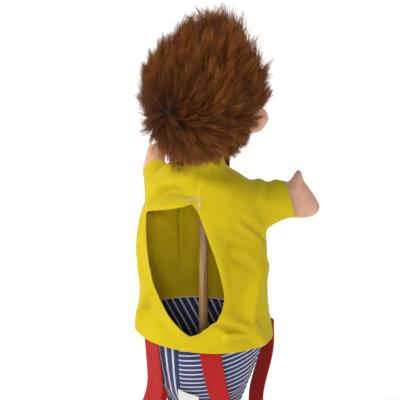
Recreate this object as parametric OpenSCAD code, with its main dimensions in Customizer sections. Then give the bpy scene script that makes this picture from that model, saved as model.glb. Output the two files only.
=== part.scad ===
// Hand puppet: a cloth boy with a fur wig, worn through a slit in the back of the shirt.
// Millimetres. The face looks toward -Y, the puppet's right hand is toward -X, +Z is up.
// The origin is the lower end of the head rod, on the rod's axis.

/* [Head] */
// Radius of the head at its widest
head_r = 42; // [36:1:46]
// Height of the head's middle above the rod's end
head_z = 234; // [230:1:240]
// Turn of the head toward the puppet's right at rest
head_yaw = 10; // [0:1:20]
// Length of the fur at the sides
fur_side = 14; // [8:1:16]
// Length of the fur on top of the head
fur_top = 27; // [16:1:30]
// Diameter of the wooden rod
rod_d = 8; // [6:0.5:8]
// Length of the wooden rod
rod_len = 240; // [225:1:250]

/* [Shirt] */
// Half the width of the shirt's hem
hem_w = 62; // [60:1:66]
// Half the depth of the shirt's hem
hem_d = 44; // [43:1:48]
// Height of the shoulders and the arms' axes
arm_z = 148; // [146:1:150]
// Angle of the right arm, forward of straight out sideways
arm_right_yaw = 15; // [5:1:20]
// Angle of the left arm, forward of straight out sideways
arm_left_yaw = 62; // [50:1:62]
// Rise of the left arm
arm_left_pitch = 14; // [0:1:20]
// Thickness of the cloth with its seam allowance
cloth = 1.2; // [1:0.1:1.4]

/* [Trousers] */
// Turn of the trousers' seams toward the puppet's left at the back
seat_twist = 12; // [0:1:15]
// Height of the hip stitching
hip_z = -63; // [-66:1:-63]
// Radius of a stuffed leg
leg_r = 15.3; // [12:0.1:15.3]
// Length of a leg, from the hip stitching to the shoe
leg_len = 50; // [45:1:70]

/* [Suspenders] */
// Width of the webbing
strap_w = 18; // [12:1:20]
// Thickness of the webbing
strap_t = 1.2; // [1:0.1:1.6]
// Drop of the hanging loops
strap_drop = 109; // [90:1:115]

/* [Hidden] */

$fn = 64;
right = -1;
left = 1;
gap = 0.05;            // room between pieces that are glued or stuffed into each other
felt = 1;              // thickness of the face's felt shapes

head_half_h = head_r * 46 / 42;
neck_r = 15;
neck_end = 178;        // where the head's skin ends, inside the neckband
plug_top = 200;
rod_r = rod_d / 2;

shoulder = [40, -10, arm_z];
shoulder_r = 15;
armhole_r = 19.5;
cuff_r = 13;
cuff_s = 25;           // cuff's edge, along the arm from the shoulder
wrist_s = 28;
mitten_r = 11.2;

hem_z = 28;
waist_z = 34;
slit_top = 155;
slit_bottom = 38;
neck_hole_z = 184;
seat_bottom = -47;

yellow = [0.84, 0.75, 0.13];
skin = [0.84, 0.65, 0.55];
navy = [0.18, 0.22, 0.40];
red = [0.78, 0.14, 0.14];
brown = [0.40, 0.23, 0.10];
white = [0.86, 0.86, 0.83];
dark = [0.08, 0.07, 0.08];
straw = [0.75, 0.68, 0.55];

// ---- shapes made from formulas ----

// Heights of the shirt's rings, from the hem to the neck hole
shirt_rows = [hem_z, waist_z, slit_bottom, 50, 65, 82, 100, 114, 126, 134, 141, 146, 150,
              slit_top, 161, 167, 173, 179, neck_hole_z];

// Half-width and half-depth of the shirt at height z
function shirt_a(z) = lookup(z, [[hem_z, hem_w], [60, 57], [100, 56], [125, 54], [140, 50],
    [150, 46], [160, 41], [168, 36], [174, 29], [180, 23], [neck_hole_z, 21.5]]);
function shirt_b(z) = lookup(z, [[hem_z, hem_d], [60, 42], [100, 40], [125, 37], [140, 34],
    [150, 31], [160, 28], [168, 26], [174, 24.5], [180, 22.5], [neck_hole_z, 21.5]]);

// Point of the shirt at height z; phi is 0 at the back, 90 at the puppet's left, 180 in front
function shirt_at(z, phi, out) =
    [(shirt_a(z) + out) * sin(phi), (shirt_b(z) + out) * cos(phi), z];

// Edges of the slit, as sideways distance from the middle of the back
function slit_right(z) = lookup(z, [[slit_bottom, 0], [50, -17], [67, -28], [82, -27],
    [103, -24], [120, -18], [138, -10], [slit_top, 0]]);
function slit_left(z) = lookup(z, [[slit_bottom, 0], [50, 16], [80, 36], [105, 44],
    [125, 46], [141, 42], [150, 16], [slit_top, 0]]);
function slit_phi(z, x) = asin(x / shirt_a(z));

// Half-width and half-depth of the trousers' seat at height z
function seat_a(z) = lookup(z, [[seat_bottom, 27], [-45, 33], [-30, 39], [7, 52],
    [waist_z, hem_w - 3.7]]);
function seat_b(z) = lookup(z, [[seat_bottom, 13], [-45, 18], [-30, 27], [7, 38],
    [waist_z, hem_d - 3.7]]);

// Closed wall between two equal grids of points, rows going up and columns going
// from the back toward the puppet's left
module wall(outer, inner) {
    rows = len(outer) - 1;
    cols = len(outer[0]) - 1;
    wide = cols + 1;
    far = (rows + 1) * wide;
    function out(i, j) = i * wide + j;
    function in(i, j) = far + out(i, j);
    function strip(a, b, c, d) = [[a, b, c], [a, c, d]];
    points = concat([for (row = outer) each row], [for (row = inner) each row]);
    faces = concat(
        [for (i = [0 : rows - 1], j = [0 : cols - 1])
            each strip(out(i, j), out(i, j + 1), out(i + 1, j + 1), out(i + 1, j))],
        [for (i = [0 : rows - 1], j = [0 : cols - 1])
            each strip(in(i, j), in(i + 1, j), in(i + 1, j + 1), in(i, j + 1))],
        [for (j = [0 : cols - 1])
            each strip(out(0, j + 1), out(0, j), in(0, j), in(0, j + 1))],
        [for (j = [0 : cols - 1])
            each strip(out(rows, j), out(rows, j + 1), in(rows, j + 1), in(rows, j))],
        [for (i = [0 : rows - 1])
            each strip(out(i, 0), out(i + 1, 0), in(i + 1, 0), in(i, 0))],
        [for (i = [0 : rows - 1])
            each strip(out(i + 1, cols), out(i, cols), in(i, cols), in(i + 1, cols))]);
    polyhedron(points, faces);
}

// Grid of shirt points between two edges; from and to are lists of phi, one per row
function shirt_grid(rows, from, to, cols, out) =
    [for (i = [0 : len(rows) - 1])
        [for (j = [0 : cols])
            shirt_at(rows[i], from[i] + (to[i] - from[i]) * j / cols, out)]];

module shirt_wall(rows, from, to, cols, out = 0, thick = cloth) {
    wall(shirt_grid(rows, from, to, cols, out), shirt_grid(rows, from, to, cols, out - thick));
}

// Room for the turning sleeves in the shirt's sides
module armholes() {
    for (side = [left, right])
        translate([side * shoulder[0], shoulder[1], shoulder[2]]) sphere(armhole_r);
}

// Puts its children in an arm's own frame: local Z runs out along the arm, local X is up
module on_arm(side) {
    yaw = side == right ? arm_right_yaw : arm_left_yaw;
    pitch = side == right ? 0 : arm_left_pitch;
    mirror([side == left ? 1 : 0, 0, 0])
        translate([-shoulder[0], shoulder[1], shoulder[2]])
            rotate([0, 0, yaw]) rotate([0, pitch - 90, 0]) children();
}

// Turns its children with the head
module on_head() {
    rotate([0, 0, -head_yaw]) children();
}

// ---- head ----

// Outline of the head from the neck to the crown, moved inward by inset
module head_outline(inset) {
    bulge_r = head_r - inset;
    bulge_h = head_half_h - inset;
    tube_r = neck_r - inset;
    start = -acos(tube_r / bulge_r);
    arc = [for (k = [0 : 24]) let (a = start + (90 - start) * k / 24)
        [bulge_r * cos(a), head_z + bulge_h * sin(a)]];
    polygon(concat([[0, neck_end], [tube_r, neck_end]], arc));
}

module head_form() {
    rotate_extrude() head_outline(0);
}

module head_skin() {
    color(skin) rotate_extrude() difference() {
        head_outline(0);
        head_outline(cloth);
        square([neck_r - cloth, plug_top]);
    }
}

module head_stuffing() {
    color(white) rotate_extrude() difference() {
        head_outline(cloth);
        square([neck_r - cloth, plug_top]);
        square([rod_r + gap, rod_len]);
    }
}

module neck_plug() {
    plug_bottom = 174;
    color(straw) difference() {
        translate([0, 0, plug_bottom])
            cylinder(r = neck_r - cloth - gap, h = plug_top - plug_bottom);
        translate([0, 0, plug_bottom - 1])
            cylinder(r = rod_r + gap, h = plug_top - plug_bottom + 2);
    }
}

// Lens-shaped pad that stands out from the side of the head
module ear(side) {
    ear_r = 11;
    half_t = 4.5;
    ball_r = (ear_r * ear_r + half_t * half_t) / (2 * half_t);
    color(skin) on_head() difference() {
        translate([side * (head_r + 3), -2, head_z - 12]) rotate([0, 0, side * -18])
            intersection_for(way = [-1, 1])
                translate([0, way * (ball_r - half_t), 0]) sphere(ball_r);
        head_form();
    }
}
module ear_right() ear(right);
module ear_left() ear(left);

// Flat felt shape laid on the face: its children are drawn facing forward
module felt_shape(x, z, thick = felt) {
    color(dark) on_head() intersection() {
        translate([x, 0, z]) rotate([90, 0, 0]) linear_extrude(head_r + 10) children();
        difference() {
            rotate_extrude() head_outline(-thick);
            head_form();
        }
    }
}

module nose() {
    color(skin) on_head() difference() {
        translate([0, 1 - head_r, head_z - 6]) sphere(7);
        head_form();
    }
}

module eye(side) felt_shape(side * 14, head_z + 5) circle(4.2);
module eye_right() eye(right);
module eye_left() eye(left);

module brow(side) felt_shape(side * 14, head_z + 17) rotate(side * -6) square([12, 3], center = true);
module brow_right() brow(right);
module brow_left() brow(left);

module mouth() {
    felt_shape(0, head_z - 22) difference() {
        circle(11);
        translate([0, 4]) circle(11.5);
    }
}

// Outer shape of the fur, left open over the face and round the ears
module fur_wig() {
    lower_edge = 191.5;
    face_r = 35;
    ear_room = 13;
    side_r = head_r + fur_side;
    crown_h = head_half_h + fur_top;
    color(brown) on_head() difference() {
        translate([0, 3, 0]) rotate_extrude() polygon(concat([[0, lower_edge]],
            [for (k = [0 : 20]) let (a = -48 + 138 * k / 20)
                [side_r * cos(a), head_z + (a < 0 ? head_half_h + 10 : crown_h) * sin(a)]]));
        rotate_extrude() head_outline(-0.1);
        translate([0, -12, head_z - 8]) rotate([90, 0, 0]) cylinder(r = face_r, h = 60);
        translate([-80, -2, head_z - 12]) rotate([0, 90, 0]) cylinder(r = ear_room, h = 160);
        translate([0, 0, 150]) cylinder(r = side_r * 2, h = lower_edge - 150);
    }
}

module head_rod() {
    color("peru") cylinder(r = rod_r, h = rod_len);
}

// ---- shirt ----

module shirt_neckband() {
    color(yellow) rotate_extrude()
        translate([neck_r + 0.3, 165]) polygon([[0, 0], [2.2, 0], [2.2, 23], [1.1, 25], [0, 25]]);
}

module shirt_front() {
    color(yellow) difference() {
        shirt_wall(shirt_rows, [for (z = shirt_rows) 90], [for (z = shirt_rows) 270], 16);
        armholes();
    }
}

module shirt_back_right() {
    color(yellow) difference() {
        shirt_wall(shirt_rows, [for (z = shirt_rows) -90],
            [for (z = shirt_rows) slit_phi(z, slit_right(z))], 9);
        armholes();
    }
}

module shirt_back_left() {
    color(yellow) difference() {
        shirt_wall(shirt_rows, [for (z = shirt_rows) slit_phi(z, slit_left(z))],
            [for (z = shirt_rows) 90], 9);
        armholes();
    }
}

// Stitched bar across the top of the slit
module bar_tack() {
    rows = [slit_top + 0.5, slit_top + 3.5];
    color(white) shirt_wall(rows, [-13, -13], [13, 13], 6, out = 0.9, thick = 0.8);
}

module bow_wings() {
    wing = [19, 7.5];
    color(dark) for (side = [left, right])
        translate([side * 3.5, -29, 174]) rotate([90, 0, 0]) linear_extrude(3.5, center = true)
            polygon([[0, 2.5], [side * (wing[0] - 4), wing[1]], [side * (wing[0] - 3.5), -wing[1]],
                [0, -2.5]]);
}

module bow_knot() {
    color(dark) translate([-3.5, -31.5, 170]) cube([7, 5.2, 8]);
}

module sleeve(side) {
    inner_r = shoulder_r - cloth;
    color(yellow) on_arm(side) rotate_extrude() polygon(concat(
        [for (a = [130 : -10 : 90]) [shoulder_r * sin(a), shoulder_r * cos(a)]],
        [[cuff_r, cuff_s], [cuff_r - cloth, cuff_s]],
        [for (a = [90 : 10 : 130]) [inner_r * sin(a), inner_r * cos(a)]]));
}
module sleeve_right() sleeve(right);
module sleeve_left() sleeve(left);

// Hand without fingers: a palm and a thumb that points up, moved inward by inset
module mitten_form(inset) {
    hull() {
        sphere(mitten_r - inset, $fn = 28);
        translate([-1, 0, 12]) scale([1.36, 0.9, 1]) sphere(11 - inset, $fn = 28);
        translate([-5, 0, 21]) scale([1, 0.85, 1]) sphere(8.5 - inset, $fn = 28);
    }
    hull() {
        translate([7, 0, 9]) scale([1, 0.9, 1]) sphere(7 - inset, $fn = 24);
        translate([20.5, 0, 10]) sphere(4.6 - inset, $fn = 24);
    }
}

module mitten(side) {
    root = -6;
    color(skin) on_arm(side) translate([0, 0, wrist_s]) difference() {
        mitten_form(0);
        mitten_form(cloth);
        translate([-20, -20, root - 20]) cube([40, 40, 20]);
    }
}
module mitten_right() mitten(right);
module mitten_left() mitten(left);

// ---- trousers ----

// Point of the seat at height z, moved outward; spread is the angle from the centre-back
// seam and the last row is drawn together onto the line between the seams
function seat_at(z, spread, side, out, closed) =
    let (a = seat_a(z) + out, b = seat_b(z) + out, phi = seat_twist + side * spread)
    closed ? cos(spread) * [a * sin(seat_twist), b * cos(seat_twist), 0] + [0, 0, z]
           : [a * sin(phi), b * cos(phi), z];

// Half of the seat: a cloth bag that is open at the waist and shut by the crotch seam
module seat_half(side) {
    rows = [seat_bottom, seat_bottom, -45, -38, -30, -18, -5, 7, 20, hem_z, waist_z];
    steps = [0 : 14];
    function ring(k, out, lift) =
        [for (j = steps) let (spread = 180 * (side == left ? j : 14 - j) / 14)
            seat_at(rows[k] + (k < 2 ? lift : 0), spread, side, out, k == 0)];
    color(navy) wall([for (k = [0 : len(rows) - 1]) ring(k, 0, 0)],
        [for (k = [0 : len(rows) - 1]) ring(k, -cloth, cloth)]);
}
module seat_right() seat_half(right);
module seat_left() seat_half(left);

// Tape between the shirt's hem and the trousers' waist
module waist_tape() {
    function ring(out) =
        [for (phi = [0 : 7.5 : 352.5]) let (p = shirt_at(waist_z, phi, out)) [p[0], p[1]]];
    color(white) translate([0, 0, hem_z]) linear_extrude(waist_z - hem_z) difference() {
        polygon(ring(-cloth - 0.4));
        polygon(ring(-cloth - 1.2));
    }
}

// Blank label caught in the centre-back seam
module care_label() {
    label = [18, 0.7, 18];
    color(white) translate([-4, seat_b(-24) + 0.3, -42]) cube(label);
}

// ---- legs and shoes ----

module leg_outline(inset) {
    radius = leg_r - inset;
    polygon(concat([for (a = [90 : -6 : 0]) [radius * cos(a), radius * sin(a)]],
        [[radius, -leg_len], [0, -leg_len]]));
}

module on_hip(side) {
    translate([side * 19, 0, hip_z]) children();
}

module leg(side) {
    color(navy) on_hip(side) rotate_extrude() difference() {
        leg_outline(0);
        leg_outline(cloth);
        translate([0, -leg_len]) square([leg_r - cloth, 2]);
    }
}
module leg_right() leg(right);
module leg_left() leg(left);

module leg_stuffing(side) {
    color(white) on_hip(side) rotate_extrude() leg_outline(cloth + gap);
}
module leg_stuffing_right() leg_stuffing(right);
module leg_stuffing_left() leg_stuffing(left);

// Soft ankle shoe: a closed bag with a rounded toe toward the front
module shoe(side) {
    ankle = 13.5;
    color("saddlebrown") on_hip(side) translate([0, 0, -leg_len]) hull() {
        translate([0, 0, -2]) cylinder(r = ankle, h = 2, $fn = 32);
        translate([0, 2, -20]) cylinder(r = ankle, h = 6, $fn = 32);
        translate([0, -20, -20]) cylinder(r = ankle, h = 6, $fn = 32);
        translate([0, -20, -10.5]) sphere(9.5, $fn = 24);
    }
}
module shoe_right() shoe(right);
module shoe_left() shoe(left);

module sole(side) {
    sole_t = 3;
    color(straw) on_hip(side) translate([0, 0, -leg_len - 20 - sole_t]) hull() {
        translate([0, 2, 0]) cylinder(r = 14.5, h = sole_t, $fn = 32);
        translate([0, -20, 0]) cylinder(r = 14.5, h = sole_t, $fn = 32);
    }
}
module sole_right() sole(right);
module sole_left() sole(left);

// ---- suspenders ----

strap_z = 20;          // top of the hanging loops, just under the hem
strap_off = 4.5;       // distance of the loops' ends from the seat's cloth
strap_back = 29;       // angle of the back end from the centre-back seam
strap_front = 134;     // angle of the front end from the centre-back seam
strap_flare = 22;      // how far a loop's bottom stands out from the line between its ends

function strap_end(side, spread) = let (phi = seat_twist + side * spread)
    [(seat_a(strap_z) + strap_off) * sin(phi), (seat_b(strap_z) + strap_off) * cos(phi), strap_z];
function strap_tangent(side, spread) = let (phi = seat_twist + side * spread)
    unit([seat_a(strap_z) * cos(phi), -seat_b(strap_z) * sin(phi), 0]);
function unit(v) = v / norm(v);

// Middle of the webbing; u runs from 1 at the back end to -1 at the front end
function strap_at(side, u) =
    let (back = strap_end(side, strap_back), front = strap_end(side, strap_front),
         chord = unit(back - front), flare = side * [chord[1], -chord[0], 0])
    (back + front) / 2 + u * (back - front) / 2
        + strap_flare * pow(1 - u * u, 4) * flare
        - [0, 0, strap_drop * (1 - pow((u * u + 0.03) / 1.03, 0.8))];

// Four corners of the webbing's section at u
function strap_section(side, u) =
    let (along = unit(strap_at(side, min(u + 0.02, 1)) - strap_at(side, max(u - 0.02, -1))),
         across = side * ((1 + u) / 2 * strap_tangent(side, strap_back)
                          - (1 - u) / 2 * strap_tangent(side, strap_front)),
         face = unit(cross(along, across)),
         edge = cross(face, along),
         w = edge * strap_w / 2, t = face * strap_t / 2, p = strap_at(side, u))
    [p - w - t, p + w - t, p + w + t, p - w + t];

module suspender(side) {
    n = 36;
    points = [for (k = [0 : n]) each strap_section(side, cos(180 * k / n))];
    sides = [for (k = [0 : n - 1], c = [0 : 3]) let (a = 4 * k + c, b = 4 * k + (c + 1) % 4)
        each [[a, b, b + 4], [a, b + 4, a + 4]]];
    color(red) polyhedron(points, concat([[3, 2, 1], [3, 1, 0]], sides,
        [[4 * n, 4 * n + 1, 4 * n + 2], [4 * n, 4 * n + 2, 4 * n + 3]]));
}
module suspender_right() suspender(right);
module suspender_left() suspender(left);

head_skin();
head_stuffing();
neck_plug();
ear_right();
ear_left();
nose();
eye_right();
eye_left();
brow_right();
brow_left();
mouth();
fur_wig();
head_rod();
shirt_neckband();
shirt_front();
shirt_back_right();
shirt_back_left();
bar_tack();
bow_wings();
bow_knot();
sleeve_right();
sleeve_left();
mitten_right();
mitten_left();
seat_right();
seat_left();
waist_tape();
care_label();
leg_right();
leg_left();
leg_stuffing_right();
leg_stuffing_left();
shoe_right();
shoe_left();
sole_right();
sole_left();
suspender_right();
suspender_left();
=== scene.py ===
import math

import bmesh
import bpy
import numpy as np
from mathutils import Euler, Matrix, Vector, noise
from mathutils.bvhtree import BVHTree
from mathutils.geometry import interpolate_bezier


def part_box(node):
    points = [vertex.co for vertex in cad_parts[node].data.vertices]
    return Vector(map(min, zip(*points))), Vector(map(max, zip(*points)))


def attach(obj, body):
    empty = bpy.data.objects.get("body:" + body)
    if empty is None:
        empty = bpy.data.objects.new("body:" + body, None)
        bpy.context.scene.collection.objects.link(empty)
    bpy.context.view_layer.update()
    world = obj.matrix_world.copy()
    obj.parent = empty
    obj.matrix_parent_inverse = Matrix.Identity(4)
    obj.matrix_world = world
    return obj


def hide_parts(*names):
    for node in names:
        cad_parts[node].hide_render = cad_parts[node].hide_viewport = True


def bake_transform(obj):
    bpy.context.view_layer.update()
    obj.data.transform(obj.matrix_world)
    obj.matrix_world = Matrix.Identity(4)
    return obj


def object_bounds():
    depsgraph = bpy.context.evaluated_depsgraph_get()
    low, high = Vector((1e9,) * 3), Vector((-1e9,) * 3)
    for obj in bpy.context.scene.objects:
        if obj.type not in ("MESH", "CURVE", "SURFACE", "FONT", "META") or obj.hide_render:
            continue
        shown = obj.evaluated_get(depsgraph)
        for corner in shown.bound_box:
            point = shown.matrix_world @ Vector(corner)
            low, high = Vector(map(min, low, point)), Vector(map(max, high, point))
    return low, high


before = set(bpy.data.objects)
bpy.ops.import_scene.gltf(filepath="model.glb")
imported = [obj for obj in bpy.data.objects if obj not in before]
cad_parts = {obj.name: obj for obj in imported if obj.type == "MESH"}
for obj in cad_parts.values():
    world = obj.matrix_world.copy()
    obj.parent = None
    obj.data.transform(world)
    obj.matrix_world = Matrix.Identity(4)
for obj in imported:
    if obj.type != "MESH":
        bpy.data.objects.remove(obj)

cad_low, cad_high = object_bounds()
mm = 0.001

# ---- Table, backdrop and camera -----------------------------------------------------
# The puppet is held in the air over a pale studio sweep and seen from behind and a
# little above, from its right, the way a second person sees it while it is worn.
view_turn = math.radians(195)
view_rise = math.radians(20)
view_distance = 0.70
view_target = Vector((2.9, 0.8, 146)) * mm
lens_mm, sensor_mm = 74.1, 36.0

away = Vector((math.sin(view_turn) * math.cos(view_rise),
               -math.cos(view_turn) * math.cos(view_rise), math.sin(view_rise)))
camera = bpy.data.objects.new("camera", bpy.data.cameras.new("camera"))
camera.data.lens = lens_mm
camera.data.sensor_width = sensor_mm
camera.location = view_target + away * view_distance
camera.rotation_euler = (-away).to_track_quat("-Z", "Y").to_euler()
bpy.context.scene.collection.objects.link(camera)
bpy.context.scene.camera = camera


def finished(name, bm, *materials):
    """Closes a bmesh into a smooth-shaded object that sits at the origin."""
    mesh = bpy.data.meshes.new(name)
    bm.to_mesh(mesh)
    bm.free()
    for material in materials:
        mesh.materials.append(material)
    for face in mesh.polygons:
        face.use_smooth = True
    piece = bpy.data.objects.new(name, mesh)
    bpy.context.scene.collection.objects.link(piece)
    return piece


def principled(name, colour, roughness, sheen=0.0, specular=0.5):
    """A new material; returns it with its nodes, its links and its shader."""
    material = bpy.data.materials.new(name)
    material.use_nodes = True
    nodes, links = material.node_tree.nodes, material.node_tree.links
    shader = nodes["Principled BSDF"]
    shader.inputs["Base Color"].default_value = (*colour, 1)
    shader.inputs["Roughness"].default_value = roughness
    shader.inputs["Sheen Weight"].default_value = sheen
    shader.inputs["Specular IOR Level"].default_value = specular
    return material, nodes, links, shader


floor_drop = 30 * mm
floor = bmesh.new()
bmesh.ops.create_grid(floor, x_segments=1, y_segments=1, size=60)
bmesh.ops.translate(floor, verts=floor.verts, vec=(0, 0, cad_low.z - floor_drop))
studio_white, nodes, links, shader = principled("studio_white", (0.93, 0.93, 0.92), 0.9)
shader.inputs["Emission Color"].default_value = (1, 1, 1, 1)
shader.inputs["Emission Strength"].default_value = 0.25
finished("studio_floor", floor, studio_white)

# A low, bright backdrop far off all round, so that level views have a white ground too
wall_far, wall_high = 40, 6
wall = bmesh.new()
bmesh.ops.create_cone(wall, cap_ends=False, segments=96, radius1=wall_far, radius2=wall_far, depth=wall_high)
bmesh.ops.translate(wall, verts=wall.verts, vec=(0, 0, cad_low.z - floor_drop + wall_high / 2))
bmesh.ops.reverse_faces(wall, faces=wall.faces)
bright_backdrop, nodes, links, shader = principled("bright_backdrop", (0.02, 0.02, 0.02), 1.0, 0.0, 0.0)
shader.inputs["Emission Color"].default_value = (1, 1, 1, 1)
shader.inputs["Emission Strength"].default_value = 1.0
finished("studio_wall", wall, bright_backdrop)


def soft_light(name, place, spread, strength):
    """A far studio light that faces the puppet; spread is how wide it looks, in degrees."""
    lamp = bpy.data.lights.new(name, "SUN")
    lamp.angle = math.radians(spread)
    lamp.energy = strength
    light = bpy.data.objects.new(name, lamp)
    light.location = place
    light.rotation_euler = (-Vector(place)).to_track_quat("-Z", "Y").to_euler()
    bpy.context.scene.collection.objects.link(light)


soft_light("key_light", (0.9, 0.75, 1.25), 14, 2.05)
soft_light("back_light", (-0.35, 1.5, 0.6), 16, 0.7)
soft_light("front_light", (0.3, -1.6, 0.9), 36, 0.75)
world = bpy.data.worlds.new("studio")
world.use_nodes = True
world.node_tree.nodes["Background"].inputs["Color"].default_value = (1, 1, 1, 1)
world.node_tree.nodes["Background"].inputs["Strength"].default_value = 0.28
bpy.context.scene.world = world
bpy.context.scene.view_settings.view_transform = "Standard"

# ---- Head rod -----------------------------------------------------------------------
# A plain 8 mm beech dowel, glued into the head. The hand inside the shirt holds it and
# turns the head with it. The solid's shape is right, so it gets wood grain only.
rod_wood, nodes, links, shader = principled("rod_wood", (0.45, 0.27, 0.13), 0.5)
place = nodes.new("ShaderNodeTexCoord")
stretch = nodes.new("ShaderNodeMapping")
stretch.inputs["Scale"].default_value = (900, 900, 22)
links.new(place.outputs["Object"], stretch.inputs["Vector"])
grain = nodes.new("ShaderNodeTexNoise")
grain.inputs["Scale"].default_value = 1
grain.inputs["Detail"].default_value = 5
links.new(stretch.outputs["Vector"], grain.inputs["Vector"])
tones = nodes.new("ShaderNodeValToRGB")
tones.color_ramp.elements[0].color = (0.27, 0.13, 0.05, 1)
tones.color_ramp.elements[0].position = 0.3
tones.color_ramp.elements[1].color = (0.56, 0.35, 0.17, 1)
tones.color_ramp.elements[1].position = 0.7
links.new(grain.outputs["Fac"], tones.inputs["Fac"])
links.new(tones.outputs["Color"], shader.inputs["Base Color"])
relief = nodes.new("ShaderNodeBump")
relief.inputs["Strength"].default_value = 0.25
relief.inputs["Distance"].default_value = 0.0003
links.new(grain.outputs["Fac"], relief.inputs["Height"])
links.new(relief.outputs["Normal"], shader.inputs["Normal"])
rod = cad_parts["head_rod"]
rod.data.materials.clear()
rod.data.materials.append(rod_wood)

# ---- Shirt --------------------------------------------------------------------------
# Yellow plain-weave cotton, cut kimono-fashion so that body and sleeve are one surface.
# It is closed by a centre-back seam from the neck to a bar tack, and open from there
# down to near the hem, where the wearer's hand goes in and pushes the left flap aside.
cuff_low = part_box("sleeve_right")[0]
arm_z = (cuff_low.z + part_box("sleeve_right")[1].z) / 2
shoulder = {-1: Vector((-40 * mm, -10 * mm, arm_z)), 1: Vector((40 * mm, -10 * mm, arm_z))}
arm_turn = {-1: math.radians(15), 1: math.radians(62)}
arm_rise = {-1: 0.0, 1: math.radians(14)}
cloth_t = 0.7 * mm

# Height above the rod's end, half the width and half the depth of the body, in mm
body_rings = [(14, 65, 46), (28, 63, 45), (60, 57, 42), (100, 56, 40.5), (125, 54, 37.5),
              (140, 51, 34), (150, 48.5, 31.5), (158, 45.5, 29), (164, 40.5, 27), (168, 36, 25.5),
              (171, 30.5, 23.5), (173.5, 24, 21), (176, 18.8, 18.6), (180, 17, 17), (196, 16.6, 16.6)]
ring_z, ring_w, ring_d = (np.array(column) * mm for column in zip(*body_rings))


def arm_frame(side):
    """Places the arm's own frame: Z runs out along the arm and X is up."""
    flip = Matrix.Scale(-1, 4, (1, 0, 0)) if side > 0 else Matrix.Identity(4)
    turn = Euler((0, arm_rise[side] - math.pi / 2, 0)).to_matrix().to_4x4()
    swing = Matrix.Rotation(arm_turn[side], 4, "Z")
    return flip @ Matrix.Translation(shoulder[-1]) @ swing @ turn


def smooth_line(points, cuts=8):
    """A rounded line through a few points, as a list of vectors."""
    points = [Vector(p) for p in points]
    line = [points[0]]
    for k in range(len(points) - 1):
        before = points[max(k - 1, 0)]
        a, b = points[k], points[k + 1]
        after = points[min(k + 2, len(points) - 1)]
        line += interpolate_bezier(a, a + (b - before) / 6, b - (after - a) / 6, b, cuts + 1)[1:]
    return line


def tube(segments, cuts):
    """A closed upright tube of radius 1 from z = 0 to z = 1, with rings of points between."""
    bm = bmesh.new()
    bmesh.ops.create_cone(bm, cap_ends=True, segments=segments, radius1=1, radius2=1, depth=1)
    uprights = [e for e in bm.edges if abs(e.verts[0].co.z - e.verts[1].co.z) > 0.5]
    bmesh.ops.subdivide_edges(bm, edges=uprights, cuts=cuts, use_grid_fill=True)
    bmesh.ops.translate(bm, verts=bm.verts, vec=(0, 0, 0.5))
    return bm


def joined(bm, part):
    """Adds a finished part to a bmesh."""
    mesh = bpy.data.meshes.new("part")
    part.to_mesh(mesh)
    part.free()
    bm.from_mesh(mesh)
    bpy.data.meshes.remove(mesh)


shirt = tube(96, 40)
for vert in shirt.verts:
    z = ring_z[0] + vert.co.z * (ring_z[-1] - ring_z[0])
    wide, deep = np.interp(z, ring_z, ring_w), np.interp(z, ring_z, ring_d)
    vert.co = Vector((vert.co.x * wide, vert.co.y * deep, z))

# Distance along the arm, reach upward, downward and sideways of the sleeve, in mm
sleeve_rings = [(-14, 15, 38, 17), (0, 16, 36, 18), (8, 16, 31, 17), (16, 15.6, 25.5, 15.5),
                (24, 15.2, 20.5, 14.5), (31, 14.8, 17.5, 14), (44, 14.5, 16.5, 13.5)]
reach_s, reach_up, reach_down, reach_side = (np.array(c) * mm for c in zip(*sleeve_rings))
for side in (-1, 1):
    sleeve = tube(48, 16)
    for vert in sleeve.verts:
        s = reach_s[0] + vert.co.z * (reach_s[-1] - reach_s[0])
        tall = np.interp(s, reach_s, reach_up if vert.co.x > 0 else reach_down)
        broad = np.interp(s, reach_s, reach_side) * (0.85 if side > 0 else 1)
        vert.co = Vector((vert.co.x * tall, vert.co.y * broad, s))
    bmesh.ops.transform(sleeve, matrix=arm_frame(side), verts=sleeve.verts)
    bmesh.ops.recalc_face_normals(sleeve, faces=sleeve.faces)
    joined(shirt, sleeve)
# Cloth that bunches between the neck and the arm that is held up in front
bunch = bmesh.new()
bmesh.ops.create_uvsphere(bunch, u_segments=40, v_segments=24, radius=1)
bmesh.ops.scale(bunch, vec=Vector((18, 15, 15)) * mm, verts=bunch.verts)
bmesh.ops.rotate(bunch, verts=bunch.verts, cent=(0, 0, 0), matrix=Matrix.Rotation(0.35, 3, "Y"))
bmesh.ops.translate(bunch, verts=bunch.verts, vec=Vector((26, -3, 162)) * mm)
joined(shirt, bunch)
shirt_form = finished("shirt_form", shirt)


def baked(piece):
    """The piece with its modifiers applied, as a bmesh. The piece itself is removed."""
    depsgraph = bpy.context.evaluated_depsgraph_get()
    mesh = bpy.data.meshes.new_from_object(piece.evaluated_get(depsgraph))
    bm = bmesh.new()
    bm.from_mesh(mesh)
    bpy.data.meshes.remove(mesh)
    bpy.data.objects.remove(piece)
    return bm


remesh = shirt_form.modifiers.new("one_skin", "REMESH")
remesh.mode = "VOXEL"
remesh.voxel_size = 1.5 * mm
shirt = baked(shirt_form)
for _ in range(14):
    bmesh.ops.smooth_vert(shirt, verts=shirt.verts, factor=0.5,
                          use_axis_x=True, use_axis_y=True, use_axis_z=True)


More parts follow.
